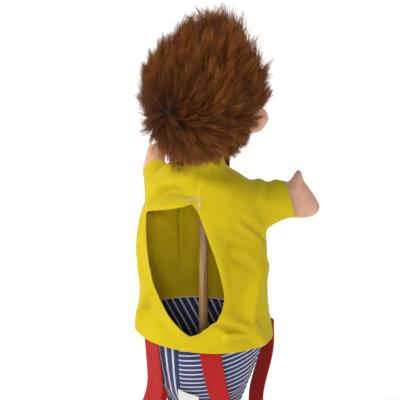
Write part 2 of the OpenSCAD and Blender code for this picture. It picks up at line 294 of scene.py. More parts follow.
def fold(bm, line, height, width, steep=1.0):
    """Raises a fold along a line given in mm; steep narrows the slope on the line's left."""
    line = np.array(smooth_line(line, 10)) * mm
    along = np.gradient(line, axis=0)
    along /= np.linalg.norm(along, axis=1)[:, None]
    fade = np.sin(np.linspace(0.12, math.pi - 0.12, len(line))) ** 0.7
    bm.normal_update()
    verts = list(bm.verts)
    places = np.array([v.co for v in verts])
    normals = np.array([v.normal for v in verts])
    reach = 2.6 * width * mm
    near = np.all((places > line.min(0) - reach) & (places < line.max(0) + reach), axis=1)
    chosen = np.flatnonzero(near)
    gap = places[chosen][:, None, :] - line[None, :, :]
    nearest = np.linalg.norm(gap, axis=2).argmin(1)
    gap = gap[np.arange(len(chosen)), nearest]
    distance = np.linalg.norm(gap, axis=1)
    outward = normals[chosen]
    leftward = np.einsum("ij,ij->i", np.cross(outward, along[nearest]), gap)
    spread = width * mm * np.where(leftward > 0, steep, 1.0)
    lift = height * mm * fade[nearest] * np.exp(-(distance / spread) ** 2)
    for k, index in enumerate(chosen):
        verts[index].co += Vector(outward[k]) * lift[k]


# Folds on the right of the back: from the armpit, down the side, and above the hem
fold(shirt, [(-56, 4, 97), (-52, 16, 83), (-50, 20, 73), (-49, 22, 60), (-49, 24, 46)], 5.9, 6, 0.5)
fold(shirt, [(-6, 41, 50), (-15, 41, 56), (-28, 37, 58), (-42, 30, 51), (-50, 23, 45)], 8.8, 7.5, 0.4)
fold(shirt, [(-8, 42, 42), (-20, 40, 47), (-32, 35, 47), (-42, 29, 44)], -6.1, 6)
fold(shirt, [(-27, 38, 35), (-32, 36, 40), (-40, 32, 41), (-48, 26, 41)], 4.6, 3.2, 0.6)
fold(shirt, [(-48, 25, 47), (-52, 22, 36), (-57, 16, 25)], 5.0, 5)
fold(shirt, [(-38, 22, 141), (-46, 16, 134), (-52, 9, 126), (-56, -2, 114)], -4.6, 3.6, 0.6)
fold(shirt, [(-30, 28, 135), (-40, 23, 128), (-50, 13, 120)], -3.1, 4)
fold(shirt, [(-28, 32, 121), (-40, 26, 118), (-52, 13, 112)], -4.1, 6)
fold(shirt, [(-30, 33, 112), (-41, 27, 105), (-50, 18, 96)], -4.6, 5, 0.7)
fold(shirt, [(-44, 22, 92), (-40, 27, 80), (-38, 30, 66)], -2.5, 6)
fold(shirt, [(-36, 33, 118), (-33, 36, 104), (-36, 36, 88), (-34, 37, 70)], -2.6, 5, 0.6)
fold(shirt, [(-50, 20, 100), (-42, 29, 96), (-34, 35, 84)], -2.2, 3)
# Folds of the flap that the wearer's hand pushes up and outward, and down the left side
fold(shirt, [(42, 12, 148), (35, 19, 152), (27, 21, 158), (16, 25, 160), (5, 28, 157)], -7.0, 3.2, 1.6)
fold(shirt, [(-2, 30, 153), (10, 31, 150), (24, 28, 147), (44, 18, 139)], 10.4, 6.5)
fold(shirt, [(54, 6, 140), (55, 8, 118), (54, 12, 96), (52, 17, 74)], 4.6, 8, 0.6)
fold(shirt, [(36, 28, 74), (42, 26, 60), (50, 22, 44), (54, 20, 27)], 5.5, 7, 0.6)
fold(shirt, [(10, 42, 34), (26, 39, 44), (40, 31, 50), (52, 17, 52)], -4.6, 6)
# The slit's right edge stands away from the body
fold(shirt, [(-4, 31, 150), (-14, 34, 132), (-23, 38, 108), (-28, 40, 84), (-28, 40, 64)], 5.0, 8)
# Long folds down the front, which hangs from the neck and the two arms
fold(shirt, [(24, -26, 146), (30, -32, 122), (31, -34, 96), (30, -35, 62)], 5.6, 4.2, 0.6)
fold(shirt, [(-22, -26, 146), (-28, -32, 122), (-26, -36, 92), (-30, -35, 54)], 4.4, 6, 0.6)
fold(shirt, [(4, -31, 150), (2, -38, 116), (-6, -40, 84), (-4, -42, 50)], 3.0, 9)
fold(shirt, [(-50, -14, 128), (-42, -24, 112), (-34, -32, 100)], -3.3, 4.5)
fold(shirt, [(48, -18, 124), (40, -26, 108), (30, -33, 94)], -3.3, 4.5)
fold(shirt, [(-56, -10, 92), (-50, -22, 70), (-46, -28, 44)], 4.0, 7, 0.6)
fold(shirt, [(56, -10, 92), (50, -22, 68), (44, -29, 40)], 4.0, 7, 0.6)
fold(shirt, [(-12, -43, 50), (-18, -42, 36), (-24, -41, 24)], 3.7, 6)
fold(shirt, [(16, -42, 56), (20, -41, 40), (24, -41, 24)], 3.7, 6)
# The centre-back seam, which draws the cloth in a little from the bar tack to the neck
fold(shirt, [(-1, 31, 157), (-1, 27, 166), (-1, 19, 176), (-1, 17.5, 187)], -1.2, 1.7)
# Short tucks of the gathered neck, and slack over the sleeves
for k in range(22):
    turn = math.radians(k * 360 / 22 + 4 * math.sin(k * 5.1))
    out = Vector((math.sin(turn), math.cos(turn), 0))
    top, low = 17.0 + 0.6 * math.sin(k * 3.3), 25 + 3 * math.sin(k * 2.7)
    fold(shirt, [out * top + Vector((0, 0, 188)), out * 17.6 + Vector((0, 0, 177)),
                 out * low + Vector((0, 0, 170))], 0.8, 1.5)
for side in (-1, 1):
    for s, lean, height in ((6, 0.3, 1.4), (13, -0.2, -1.3), (21, 0.25, 1.0)):
        ring = [Vector((16 * math.cos(a), 16 * math.sin(a), s + 5 * lean * a)) * mm
                for a in np.linspace(-1.3, 1.3, 5)]
        fold(shirt, [(arm_frame(side) @ p) / mm for p in ring], height, 3.2)
for vert in shirt.verts:
    slack = noise.noise(vert.co * 38) + 0.35 * noise.noise(vert.co * 110)
    vert.co += vert.normal * slack * 0.9 * mm

# The slit: up the back from above the hem to the bar tack, pushed open toward the left
slit_right = [(0, 155), (-6, 145), (-14, 128), (-21, 110), (-26, 90), (-28, 72), (-22, 54), (-9, 42), (0, 38)]
slit_left = [(8, 42), (20, 52), (34, 74), (42, 98), (46, 122), (45, 136), (38, 143), (18, 150)]
rim = smooth_line([(x, 8, z) for x, z in slit_right], 6)
rim += smooth_line([(x, 8, z) for x, z in slit_left], 6)
cutter = bmesh.new()
outline = cutter.faces.new([cutter.verts.new(p * mm) for p in rim])
swept = bmesh.ops.extrude_face_region(cutter, geom=[outline])
bmesh.ops.translate(cutter, vec=(0, 60 * mm, 0),
                    verts=[g for g in swept["geom"] if isinstance(g, bmesh.types.BMVert)])
bmesh.ops.recalc_face_normals(cutter, faces=cutter.faces)
slit_mark = bpy.data.materials.new("slit_mark")
slit_form = finished("slit_form", cutter, slit_mark)
shirt_cotton, nodes, links, shader = principled("shirt_cotton", (0.60, 0.45, 0.005), 0.9, 0.05, 0.12)
shirt_whole = finished("shirt_whole", shirt, shirt_cotton)
opening = shirt_whole.modifiers.new("slit", "BOOLEAN")
opening.object = slit_form
opening.operation = "DIFFERENCE"
opening.solver = "EXACT"
opening.material_mode = "TRANSFER"
shirt = baked(shirt_whole)
bpy.data.objects.remove(slit_form)
walls = [f for f in shirt.faces if f.material_index > 0]
bmesh.ops.delete(shirt, geom=walls, context="FACES")


def trim(bm, place, outward):
    """Cuts off what lies beyond a plane."""
    whole = list(bm.verts) + list(bm.edges) + list(bm.faces)
    bmesh.ops.bisect_plane(bm, geom=whole, dist=1e-7, plane_co=place, plane_no=outward,
                           clear_outer=True)


trim(shirt, Vector((0, 0, 25)) * mm, Vector((0, -0.02, -1)))
trim(shirt, Vector((0, 0, 187)) * mm, Vector((0, 0, 1)))
for side in (-1, 1):
    frame_of_arm = arm_frame(side)
    trim(shirt, frame_of_arm @ (Vector((15, 0, 28)) * mm),
         frame_of_arm.to_3x3() @ Vector((0.275, 0, 0.961)))
shirt.normal_update()
bmesh.ops.solidify(shirt, geom=list(shirt.faces), thickness=cloth_t)
shirt.normal_update()
true_normal = shirt.verts.layers.float_vector.new("true_normal")
for vert in shirt.verts:
    vert[true_normal] = vert.normal


def weave(nodes, links, shader, pitch, depth):
    """Plain weave of that thread spacing, as relief, on faces that point any way."""
    place = nodes.new("ShaderNodeTexCoord")
    count = nodes.new("ShaderNodeVectorMath")
    count.operation = "SCALE"
    count.inputs["Scale"].default_value = 2 * math.pi / pitch
    links.new(place.outputs["Object"], count.inputs[0])
    threads = nodes.new("ShaderNodeVectorMath")
    threads.operation = "SINE"
    links.new(count.outputs[0], threads.inputs[0])
    split = nodes.new("ShaderNodeSeparateXYZ")
    links.new(threads.outputs[0], split.inputs[0])
    first, second = nodes.new("ShaderNodeCombineXYZ"), nodes.new("ShaderNodeCombineXYZ")
    for target, axes in ((first, "YXX"), (second, "ZZY")):
        for socket, axis in zip(target.inputs, axes):
            links.new(split.outputs[axis], socket)
    crossed = nodes.new("ShaderNodeVectorMath")
    crossed.operation = "MULTIPLY"
    links.new(first.outputs[0], crossed.inputs[0])
    links.new(second.outputs[0], crossed.inputs[1])
    facing = nodes.new("ShaderNodeVectorMath")
    facing.operation = "MULTIPLY"
    links.new(place.outputs["Normal"], facing.inputs[0])
    links.new(place.outputs["Normal"], facing.inputs[1])
    height = nodes.new("ShaderNodeVectorMath")
    height.operation = "DOT_PRODUCT"
    links.new(crossed.outputs[0], height.inputs[0])
    links.new(facing.outputs[0], height.inputs[1])
    relief = nodes.new("ShaderNodeBump")
    relief.inputs["Strength"].default_value = 1.0
    relief.inputs["Distance"].default_value = depth
    links.new(height.outputs["Value"], relief.inputs["Height"])
    links.new(relief.outputs["Normal"], shader.inputs["Normal"])


def mottle(nodes, links, shader, dark, light, scale):
    """Uneven dye: the colour drifts between two tones over the cloth."""
    place = nodes.new("ShaderNodeTexCoord")
    cloud = nodes.new("ShaderNodeTexNoise")
    cloud.inputs["Scale"].default_value = scale
    cloud.inputs["Detail"].default_value = 4
    links.new(place.outputs["Object"], cloud.inputs["Vector"])
    tones = nodes.new("ShaderNodeValToRGB")
    tones.color_ramp.elements[0].position = 0.3
    tones.color_ramp.elements[0].color = (*dark, 1)
    tones.color_ramp.elements[1].position = 0.7
    tones.color_ramp.elements[1].color = (*light, 1)
    links.new(cloud.outputs["Fac"], tones.inputs["Fac"])
    links.new(tones.outputs["Color"], shader.inputs["Base Color"])


weave(nodes, links, shader, 0.62 * mm, 0.05 * mm)
mottle(nodes, links, shader, (0.57, 0.43, 0.004), (0.62, 0.475, 0.006), 60)
shader.inputs["Subsurface Weight"].default_value = 0.2
shader.inputs["Subsurface Radius"].default_value = (1.0, 0.8, 0.12)
shader.inputs["Subsurface Scale"].default_value = 2 * mm


def cloth_portion(bm, cuts, keep):
    """A copy of the cloth, cut along planes, with the faces whose middles pass the test."""
    part = bm.copy()
    for place, across in cuts:
        whole = list(part.verts) + list(part.edges) + list(part.faces)
        bmesh.ops.bisect_plane(part, geom=whole, dist=1e-7, plane_co=place, plane_no=across)
    unwanted = [f for f in part.faces if not keep(f.calc_center_median())]
    bmesh.ops.delete(part, geom=unwanted, context="FACES")
    return part


def one_with_the_rest(piece):
    """Keeps the shading of the whole shirt on a portion, so that no line shows at the cut."""
    kept = piece.data.attributes["true_normal"].data
    normals = [entry.vector.copy() for entry in kept]
    piece.data.normals_split_custom_set_from_vertices(normals)
    piece.data.attributes.remove(piece.data.attributes["true_normal"])


def stitches(bm, line, pitch, length, thickness, material_index=0):
    """Lays stitches along a line of points, each one a small bead of thread."""
    line = np.array(line)
    steps = np.linalg.norm(np.diff(line, axis=0), axis=1)
    distance = np.concatenate([[0], np.cumsum(steps)])
    for d in np.arange(pitch / 2, distance[-1], pitch):
        here, ahead = (Vector([np.interp(x, distance, line[:, k]) for k in range(3)])
                       for x in (d - length / 2, d + length / 2))
        turn = (ahead - here).to_track_quat("Z", "Y").to_matrix().to_4x4()
        shape = Matrix.Diagonal((thickness, thickness, length, 1))
        bead = bmesh.ops.create_icosphere(bm, subdivisions=1, radius=0.5,
                                          matrix=Matrix.Translation((here + ahead) / 2) @ turn @ shape)
        for face in {f for v in bead["verts"] for f in v.link_faces}:
            face.material_index = material_index


def laid_on(tree, starts, aims, lift):
    """Where lines from the starts toward the aims first meet the cloth, a little above it."""
    line = []
    for start, aim in zip(starts, aims):
        place, normal, *_ = tree.ray_cast(start, aim - start)
        if place is not None:
            line.append(place + normal * (lift if normal.dot(aim - start) < 0 else -lift))
    return line


shirt_thread, *_ = principled("shirt_thread", (0.72, 0.55, 0.03), 0.6)
cloth_tree = BVHTree.FromBMesh(shirt)
neck_cut, low_cut, sleeve_cut_s = 169 * mm, 116 * mm, 13 * mm
arm_inverse = {side: arm_frame(side).inverted() for side in (-1, 1)}


def in_sleeve(place, side):
    return (arm_inverse[side] @ place).z > sleeve_cut_s and place.z > low_cut


sleeve_cuts = {side: (arm_frame(side) @ Vector((0, 0, sleeve_cut_s)),
                      arm_frame(side).to_3x3() @ Vector((0, 0, 1))) for side in (-1, 1)}
level_cuts = [((0, 0, neck_cut), (0, 0, 1)), ((0, 0, low_cut), (0, 0, 1))]

shirt_body_cloth = cloth_portion(shirt, level_cuts + list(sleeve_cuts.values()), lambda p:
                                 p.z < neck_cut and not in_sleeve(p, -1) and not in_sleeve(p, 1))
turns = np.linspace(0, 2 * math.pi, 121)
hem_row = laid_on(cloth_tree, [Vector((0.1 * math.sin(a), 0.1 * math.cos(a), 33 * mm)) for a in turns],
                  [Vector((0, 0, 33 * mm))] * len(turns), 0.1 * mm)
stitches(shirt_body_cloth, hem_row, 2.6 * mm, 1.9 * mm, 0.35 * mm, 1)
for edge, sideways in ((slit_right, -3), (slit_left, 3)):
    edge_line = smooth_line([(x + sideways, 70, z) for x, z in edge], 6)
    aims = [Vector((p.x, 0, p.z)) * mm for p in edge_line]
    row = laid_on(cloth_tree, [p * mm for p in edge_line], aims, 0.1 * mm)
    stitches(shirt_body_cloth, row, 2.4 * mm, 1.7 * mm, 0.3 * mm, 1)
shirt_body = finished("shirt_body", shirt_body_cloth, shirt_cotton, shirt_thread)
one_with_the_rest(shirt_body)
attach(shirt_body, "torso")
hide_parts("shirt_front", "shirt_back_right", "shirt_back_left")

for side, name in ((-1, "right"), (1, "left")):
    sleeve_cloth = cloth_portion(shirt, level_cuts[1:] + [sleeve_cuts[side]],
                                 lambda p: in_sleeve(p, side))
    cuff = [(math.cos(a), math.sin(a)) for a in np.linspace(0, 2 * math.pi, 41)]
    cuff_s = [(31.5 - 4.4 * c) * mm - 3.5 * mm for c, _ in cuff]
    starts = [arm_frame(side) @ Vector((c * 30 * mm, d * 30 * mm, s)) for (c, d), s in zip(cuff, cuff_s)]
    aims = [arm_frame(side) @ Vector((0, 0, s)) for s in cuff_s]
    stitches(sleeve_cloth, laid_on(cloth_tree, starts, aims, 0.1 * mm), 2.6 * mm, 1.9 * mm, 0.35 * mm, 1)
    sleeve = finished("sleeve_cloth_" + name, sleeve_cloth, shirt_cotton, shirt_thread)
    one_with_the_rest(sleeve)
    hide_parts("sleeve_" + name)
    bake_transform(sleeve)

neck_cloth = cloth_portion(shirt, level_cuts[:1], lambda p: p.z > neck_cut)
gathers = laid_on(cloth_tree, [Vector((0.1 * math.sin(a), 0.1 * math.cos(a), 178 * mm)) for a in turns],
                  [Vector((0, 0, 178 * mm))] * len(turns), 0.1 * mm)
stitches(neck_cloth, gathers, 2.2 * mm, 1.6 * mm, 0.35 * mm, 1)
neck_gather = finished("neck_gather", neck_cloth, shirt_cotton, shirt_thread)
one_with_the_rest(neck_gather)
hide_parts("shirt_neckband")
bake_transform(neck_gather)

# ---- Bar tack -----------------------------------------------------------------------
# A few rows of pale pink thread, sewn back and forth by hand over the top of the slit so
# that the seam doesn't tear when the wearer's hand pushes in.
tack_thread, nodes, links, shader = principled("tack_thread", (0.78, 0.60, 0.55), 0.65, 0.2)
weave(nodes, links, shader, 0.25 * mm, 0.02 * mm)
tack = bmesh.new()
zigzag = [(6.5 - 1.15 * k, 157.6 + (0.9 if k % 2 else -0.8) + 0.3 * math.sin(k * 2.1)) for k in range(13)]
ladder = [(-5.2 + (1.1 if k % 2 else -1.0) - 0.12 * k, 156.4 - 0.95 * k) for k in range(7)]
for path in (zigzag, ladder):
    spots = [Vector((x, 70, z)) * mm for x, z in path]
    row = laid_on(cloth_tree, spots, [Vector((p.x, 0, p.z)) for p in spots], 0.25 * mm)
    for a, b in zip(row, row[1:]):
        stitches(tack, [a, b], (b - a).length, (b - a).length * 1.05, 0.6 * mm)
bar_tack = finished("bar_tack_thread", tack, tack_thread)
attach(bar_tack, "torso")
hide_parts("bar_tack")

# ---- Mittens ------------------------------------------------------------------------
# Skin-coloured brushed knit: two flat halves with a thumb, sewn together all round and
# open at the wrist, where they are sewn inside the cuffs. A fingertip rounds them out.
skin_fabric, nodes, links, shader = principled("skin_fabric", (0.60, 0.33, 0.23), 0.85, 0.3, 0.2)
weave(nodes, links, shader, 0.5 * mm, 0.03 * mm)
mottle(nodes, links, shader, (0.64, 0.345, 0.24), (0.70, 0.40, 0.285), 120)
shader.inputs["Subsurface Weight"].default_value = 0.15
shader.inputs["Subsurface Radius"].default_value = (1.0, 0.5, 0.35)
shader.inputs["Subsurface Scale"].default_value = 1.5 * mm
skin_thread, *_ = principled("skin_thread", (0.50, 0.26, 0.18), 0.7)

# The sewn edge, as height and distance along the arm from the shoulder, in mm
mitten_edge = [(12.5, 17), (13.3, 26), (15.2, 31), (19.5, 34), (23.3, 36), (24.8, 38.3), (23.4, 40.6),
               (19.8, 42), (15, 43.8), (8, 49), (1, 53.7), (-5, 57), (-9, 57.5), (-13, 55.6),
               (-15.9, 51), (-17.3, 44), (-17.2, 37), (-15.6, 30), (-13, 23), (-12.5, 17)]
edge_line = np.array(smooth_line([(up, 0, s) for up, s in mitten_edge], 6)) * mm
for side, name in ((-1, "right"), (1, "left")):
    mitten = bmesh.new()
    flat = mitten.faces.new([mitten.verts.new(p) for p in edge_line])
    swept = bmesh.ops.extrude_face_region(mitten, geom=[flat])
    bmesh.ops.translate(mitten, vec=(0, 2 * mm, 0),
                        verts=[g for g in swept["geom"] if isinstance(g, bmesh.types.BMVert)])
    bmesh.ops.translate(mitten, vec=(0, -1 * mm, 0), verts=mitten.verts)
    bmesh.ops.recalc_face_normals(mitten, faces=mitten.faces)
    form = finished("mitten_form", mitten)
    remesh = form.modifiers.new("one_skin", "REMESH")
    remesh.mode = "VOXEL"
    remesh.voxel_size = 0.7 * mm
    mitten = baked(form)
    for vert in mitten.verts:
        flat_gap = edge_line[:, [0, 2]] - np.array([vert.co.x, vert.co.z])
        inward = float(np.sqrt((flat_gap ** 2).sum(1).min()))
        fullness = math.sqrt(1 - (1 - min(inward / (12 * mm), 1)) ** 2)
        pucker = 0.35 * mm * math.sin(vert.co.z * 1900) * math.exp(-inward / (2.5 * mm))
        vert.co.y = vert.co.y * (1 + 8.6 * fullness) + pucker
    for _ in range(5):
        bmesh.ops.smooth_vert(mitten, verts=mitten.verts, factor=0.5,
                              use_axis_x=True, use_axis_y=True, use_axis_z=True)
    mitten.normal_update()
    for face_side in (-1, 1):
        y = 6 * face_side
        fold(mitten, [(14.5, y, 29), (12.8, y, 34), (12.6, y, 40), (15, y, 44)], -1.1, 1.6)
        fold(mitten, [(3, y * 1.4, 37), (-2, y * 1.5, 42), (-10, y * 1.4, 43)], -1.0, 3.5)
        fold(mitten, [(-13, y, 33), (-9, y * 1.3, 38), (-9, y * 1.3, 45)], -0.8, 2.5)
    for vert in mitten.verts:
        tuck_in = 0.10 * min(max((27 * mm - vert.co.z) / (5 * mm), 0), 1)
        vert.co.x, vert.co.y = vert.co.x * (1 - tuck_in), vert.co.y * (1 - tuck_in)
    trim(mitten, Vector((0, 0, 22)) * mm, Vector((0, 0, -1)))
    bmesh.ops.solidify(mitten, geom=list(mitten.faces), thickness=0.9 * mm)
    tree = BVHTree.FromBMesh(mitten)
    inner = [Vector(p) * 1 for p in edge_line[6:-6]]
    middle = Vector((0, 0, 36)) * mm
    for face_side in (-1, 1):
        starts = [p + (middle - p).normalized() * 1.5 * mm + Vector((0, 0.03 * face_side, 0)) for p in inner]
        aims = [Vector((p.x, 0, p.z)) for p in starts]
        stitches(mitten, laid_on(tree, starts, aims, 0.02 * mm), 1.9 * mm, 1.3 * mm, 0.28 * mm, 1)
    bmesh.ops.transform(mitten, matrix=arm_frame(side), verts=mitten.verts)
    if side > 0:
        bmesh.ops.reverse_faces(mitten, faces=mitten.faces)
    mitten_skin = finished("mitten_skin_" + name, mitten, skin_fabric, skin_thread)
    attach(mitten_skin, "hand_" + name)
    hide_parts("mitten_" + name)

# ---- Bow tie ------------------------------------------------------------------------
# A tied bow of black satin ribbon: two pleated wings drawn together under a small knot,
# sewn to the shirt just under the neck.
bow_satin, nodes, links, shader = principled("bow_satin", (0.012, 0.011, 0.014), 0.35, 0.1, 0.5)
weave(nodes, links, shader, 0.4 * mm, 0.015 * mm)
bow_low, bow_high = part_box("bow_wings")
knot_low, knot_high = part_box("bow_knot")
bow_y = (bow_low.y + bow_high.y) / 2
bow_z = (bow_low.z + bow_high.z) / 2
wing_reach = bow_high.x - 3.5 * mm
bow = bmesh.new()
for side in (-1, 1):
    wing = tube(48, 28)
    for vert in wing.verts:
        out, around = vert.co.z, math.atan2(vert.co.y, vert.co.x)
        tall = 2.6 + 5.2 * out ** 0.8 - 0.8 * max(out - 0.8, 0) * 5
        thick = 1.5 + 1.1 * math.sin(math.pi * min(out * 1.05, 1))
        pleat = 1 + 0.28 * (1 - out) ** 0.7 * math.cos(around * 7)
        ring = math.hypot(vert.co.x, vert.co.y)
        vert.co = Vector((side * (1.5 * mm + out * (wing_reach - 1.5 * mm)),
                          bow_y + ring * math.sin(around) * thick * pleat * mm - 0.8 * mm * out,
                          bow_z + ring * math.cos(around) * tall * mm))
    joined(bow, wing)
bmesh.ops.recalc_face_normals(bow, faces=bow.faces)
bow_ribbon = finished("bow_ribbon_wings", bow, bow_satin)
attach(bow_ribbon, "torso")
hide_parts("bow_wings")

knot = bmesh.new()
bmesh.ops.create_cube(knot, size=1)
bmesh.ops.scale(knot, vec=knot_high - knot_low, verts=knot.verts)
bmesh.ops.translate(knot, vec=(knot_low + knot_high) / 2, verts=knot.verts)
bmesh.ops.bevel(knot, geom=knot.edges, offset=1.6 * mm, offset_type="OFFSET", segments=5,
                affect="EDGES", profile=0.5, material=-1)
bmesh.ops.subdivide_edges(knot, edges=knot.edges, cuts=2, use_grid_fill=True)
for vert in knot.verts:
    vert.co.y += 0.35 * mm * math.cos(vert.co.x / mm * 2.4)
bow_knot = finished("bow_ribbon_knot", knot, bow_satin)
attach(bow_knot, "torso")
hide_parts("bow_knot")

# ---- Trousers' seat -----------------------------------------------------------------
# Navy cotton twill with thin woven stripes, in two halves that meet in a seam behind and
# before. One half is cut with its stripes level and the other with its stripes upright.
navy_tone, white_tone = (0.022, 0.034, 0.115), (0.60, 0.57, 0.62)
stripe_pitch = 5.2
striped_cotton, nodes, links, shader = principled("striped_cotton", navy_tone, 0.85, 0.1, 0.25)
weave(nodes, links, shader, 0.55 * mm, 0.04 * mm)
course = nodes.new("ShaderNodeAttribute")
course.attribute_name = "stripe_mm"
cycle = nodes.new("ShaderNodeMath")
cycle.operation = "PINGPONG"
cycle.inputs[1].default_value = stripe_pitch / 2
links.new(course.outputs["Fac"], cycle.inputs[0])
dye = nodes.new("ShaderNodeValToRGB")
dye.color_ramp.elements[0].color = (*white_tone, 1)
dye.color_ramp.elements[0].position = 0.62 / 3
dye.color_ramp.elements[1].color = (*navy_tone, 1)
dye.color_ramp.elements[1].position = 0.82 / 3
spread = nodes.new("ShaderNodeMath")
spread.operation = "DIVIDE"
spread.inputs[1].default_value = 3.0
links.new(cycle.outputs[0], spread.inputs[0])
links.new(spread.outputs[0], dye.inputs["Fac"])
links.new(dye.outputs["Color"], shader.inputs["Base Color"])
seam_thread, *_ = principled("seam_thread", (0.03, 0.04, 0.10), 0.7)

# Height, half the width and half the depth of the seat, and the back seam's place, in mm
seat_rings = [(-55, 33, 11.5, 14), (-50, 34.5, 14, 14.5), (-45, 36, 18, 15), (-38, 38.5, 23.5, 15),
              (-30, 41, 28, 14.5), (-20, 44, 31.5, 14), (-5, 49, 35.5, 13.5), (7, 52, 38, 13),
              (20, 55.5, 39.5, 12.5), (33, 58, 40.3, 12)]
seat_z, seat_w, seat_d, seat_seam = (np.array(column) for column in zip(*seat_rings))


def seat_point(z, across, side, out=0.0):
    """A place on the seat at that height, across = 0 at the back seam and 1 at the front."""
    wide, deep = np.interp(z, seat_z, seat_w), np.interp(z, seat_z, seat_d)
    back = math.asin(np.interp(z, seat_z, seat_seam) / wide)
    front = math.pi + math.asin(8 / wide)
    turn = back + (front - back) * across if side > 0 else \
        back - (2 * math.pi - front + back) * across
    return Vector(((wide + out) * math.sin(turn), (deep + out) * math.cos(turn), z))


for side, name in ((-1, "right"), (1, "left")):
    half = bmesh.new()
    bmesh.ops.create_grid(half, x_segments=90, y_segments=56, size=0.5)
    stripe = half.verts.layers.float.new("stripe_mm")
    for vert in half.verts:
        across, up = vert.co.x + 0.5, vert.co.y + 0.5
        z = seat_z[0] + up * (seat_z[-1] - seat_z[0])
        place = seat_point(z, across, side)
        from_seam = 105 * min(across, 1 - across) * (0.85 + 0.3 * up)
        nip = 0.9 * math.exp(-(from_seam / 1.3) ** 2) * (1 + 0.25 * math.sin(z * 1.7))
        wave = 0.6 * noise.noise(place * 0.045) + 0.9 * max(0, up - 0.75) * math.sin(across * 40)
        arc = 105 * across * (0.85 + 0.3 * up)
        back_arc = min(arc, 105 * (1 - across) * (0.85 + 0.3 * up))
        vert[stripe] = z - 0.28 * back_arc - 0.0018 * back_arc ** 2 + 1.1 if side < 0 else arc + 1.5
        vert.co = seat_point(z, across, side, wave - nip) * mm
    bmesh.ops.recalc_face_normals(half, faces=half.faces)
    middle_face = min(half.faces, key=lambda f: (f.calc_center_median() - Vector((0, 40, 0)) * mm).length)
    if middle_face.normal.y < 0:
        bmesh.ops.reverse_faces(half, faces=half.faces)
    if side < 0:
        fold(half, [(-30, 24, -28), (-36, 18, -22), (-42, 12, -10)], 1.2, 4)
        fold(half, [(-24, -24, -30), (-34, -20, -18), (-42, -14, -4)], 1.4, 4)
    else:
        fold(half, [(26, 22, -34), (34, 18, -24), (42, 12, -10)], 1.3, 4)
        fold(half, [(20, -24, -32), (32, -22, -20), (44, -14, -2)], 1.4, 4)
    bmesh.ops.solidify(half, geom=list(half.faces), thickness=0.9 * mm)
    tree = BVHTree.FromBMesh(half)
    for z_row in ([(z, 0.018) for z in range(-44, 24, 2)], [(z, 0.982) for z in range(-44, 24, 2)]):
        starts = [seat_point(z, a, side, 25) * mm for z, a in z_row]
        aims = [Vector((0, 0, p.z)) for p in starts]
        stitches(half, laid_on(tree, starts, aims, 0.02 * mm), 2.4 * mm, 1.6 * mm, 0.28 * mm, 1)
    seat_cloth = finished("seat_cloth_" + name, half, striped_cotton, seam_thread)
    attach(seat_cloth, "torso")
    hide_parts("seat_" + name)

# ---- Waist tape and label -----------------------------------------------------------
# White cotton tape that joins the trousers' waist to the inside of the shirt's hem, and
# a blank woven label, doubled over and caught by one edge in the centre-back seam.
tape_cotton, nodes, links, shader = principled("tape_cotton", (0.66, 0.65, 0.60), 0.85, 0.1, 0.25)
weave(nodes, links, shader, 0.8 * mm, 0.06 * mm)
tape = tube(120, 3)
bmesh.ops.delete(tape, geom=[f for f in tape.faces if abs(f.normal.z) > 0.9], context="FACES")
for vert in tape.verts:
    vert.co = Vector((vert.co.x * 58.9, vert.co.y * 41.2, 27 + 7 * vert.co.z)) * mm
bmesh.ops.solidify(tape, geom=list(tape.faces), thickness=0.6 * mm)
waist_band = finished("waist_band", tape, tape_cotton)
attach(waist_band, "torso")
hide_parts("waist_tape")

label_satin, nodes, links, shader = principled("label_satin", (0.64, 0.64, 0.61), 0.6, 0.1, 0.4)
weave(nodes, links, shader, 0.35 * mm, 0.02 * mm)
label = bmesh.new()
bmesh.ops.create_grid(label, x_segments=24, y_segments=24, size=0.5)
for vert in label.verts:
    away_from_seam, down = 0.5 - vert.co.x, 0.5 - vert.co.y
    x = 14.5 - 19 * away_from_seam
    z = -23 - 18 * down - 4.5 * away_from_seam
    rest = seat_point(z, 0, 1).y
    swing = 1.4 + 3.2 * away_from_seam ** 0.7 + 3.5 * away_from_seam * down
    y = max(np.interp(-23 - 6 * away_from_seam, seat_z, seat_d) - 3.5 * down, rest * 0.9) + swing
    vert.co = Vector((x, y + 0.5 * math.sin(away_from_seam * 5 + down * 2), z)) * mm
bmesh.ops.recalc_face_normals(label, faces=label.faces)
bmesh.ops.solidify(label, geom=list(label.faces), thickness=0.5 * mm)
blank_label = finished("blank_label", label, label_satin)
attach(blank_label, "torso")
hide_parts("care_label")

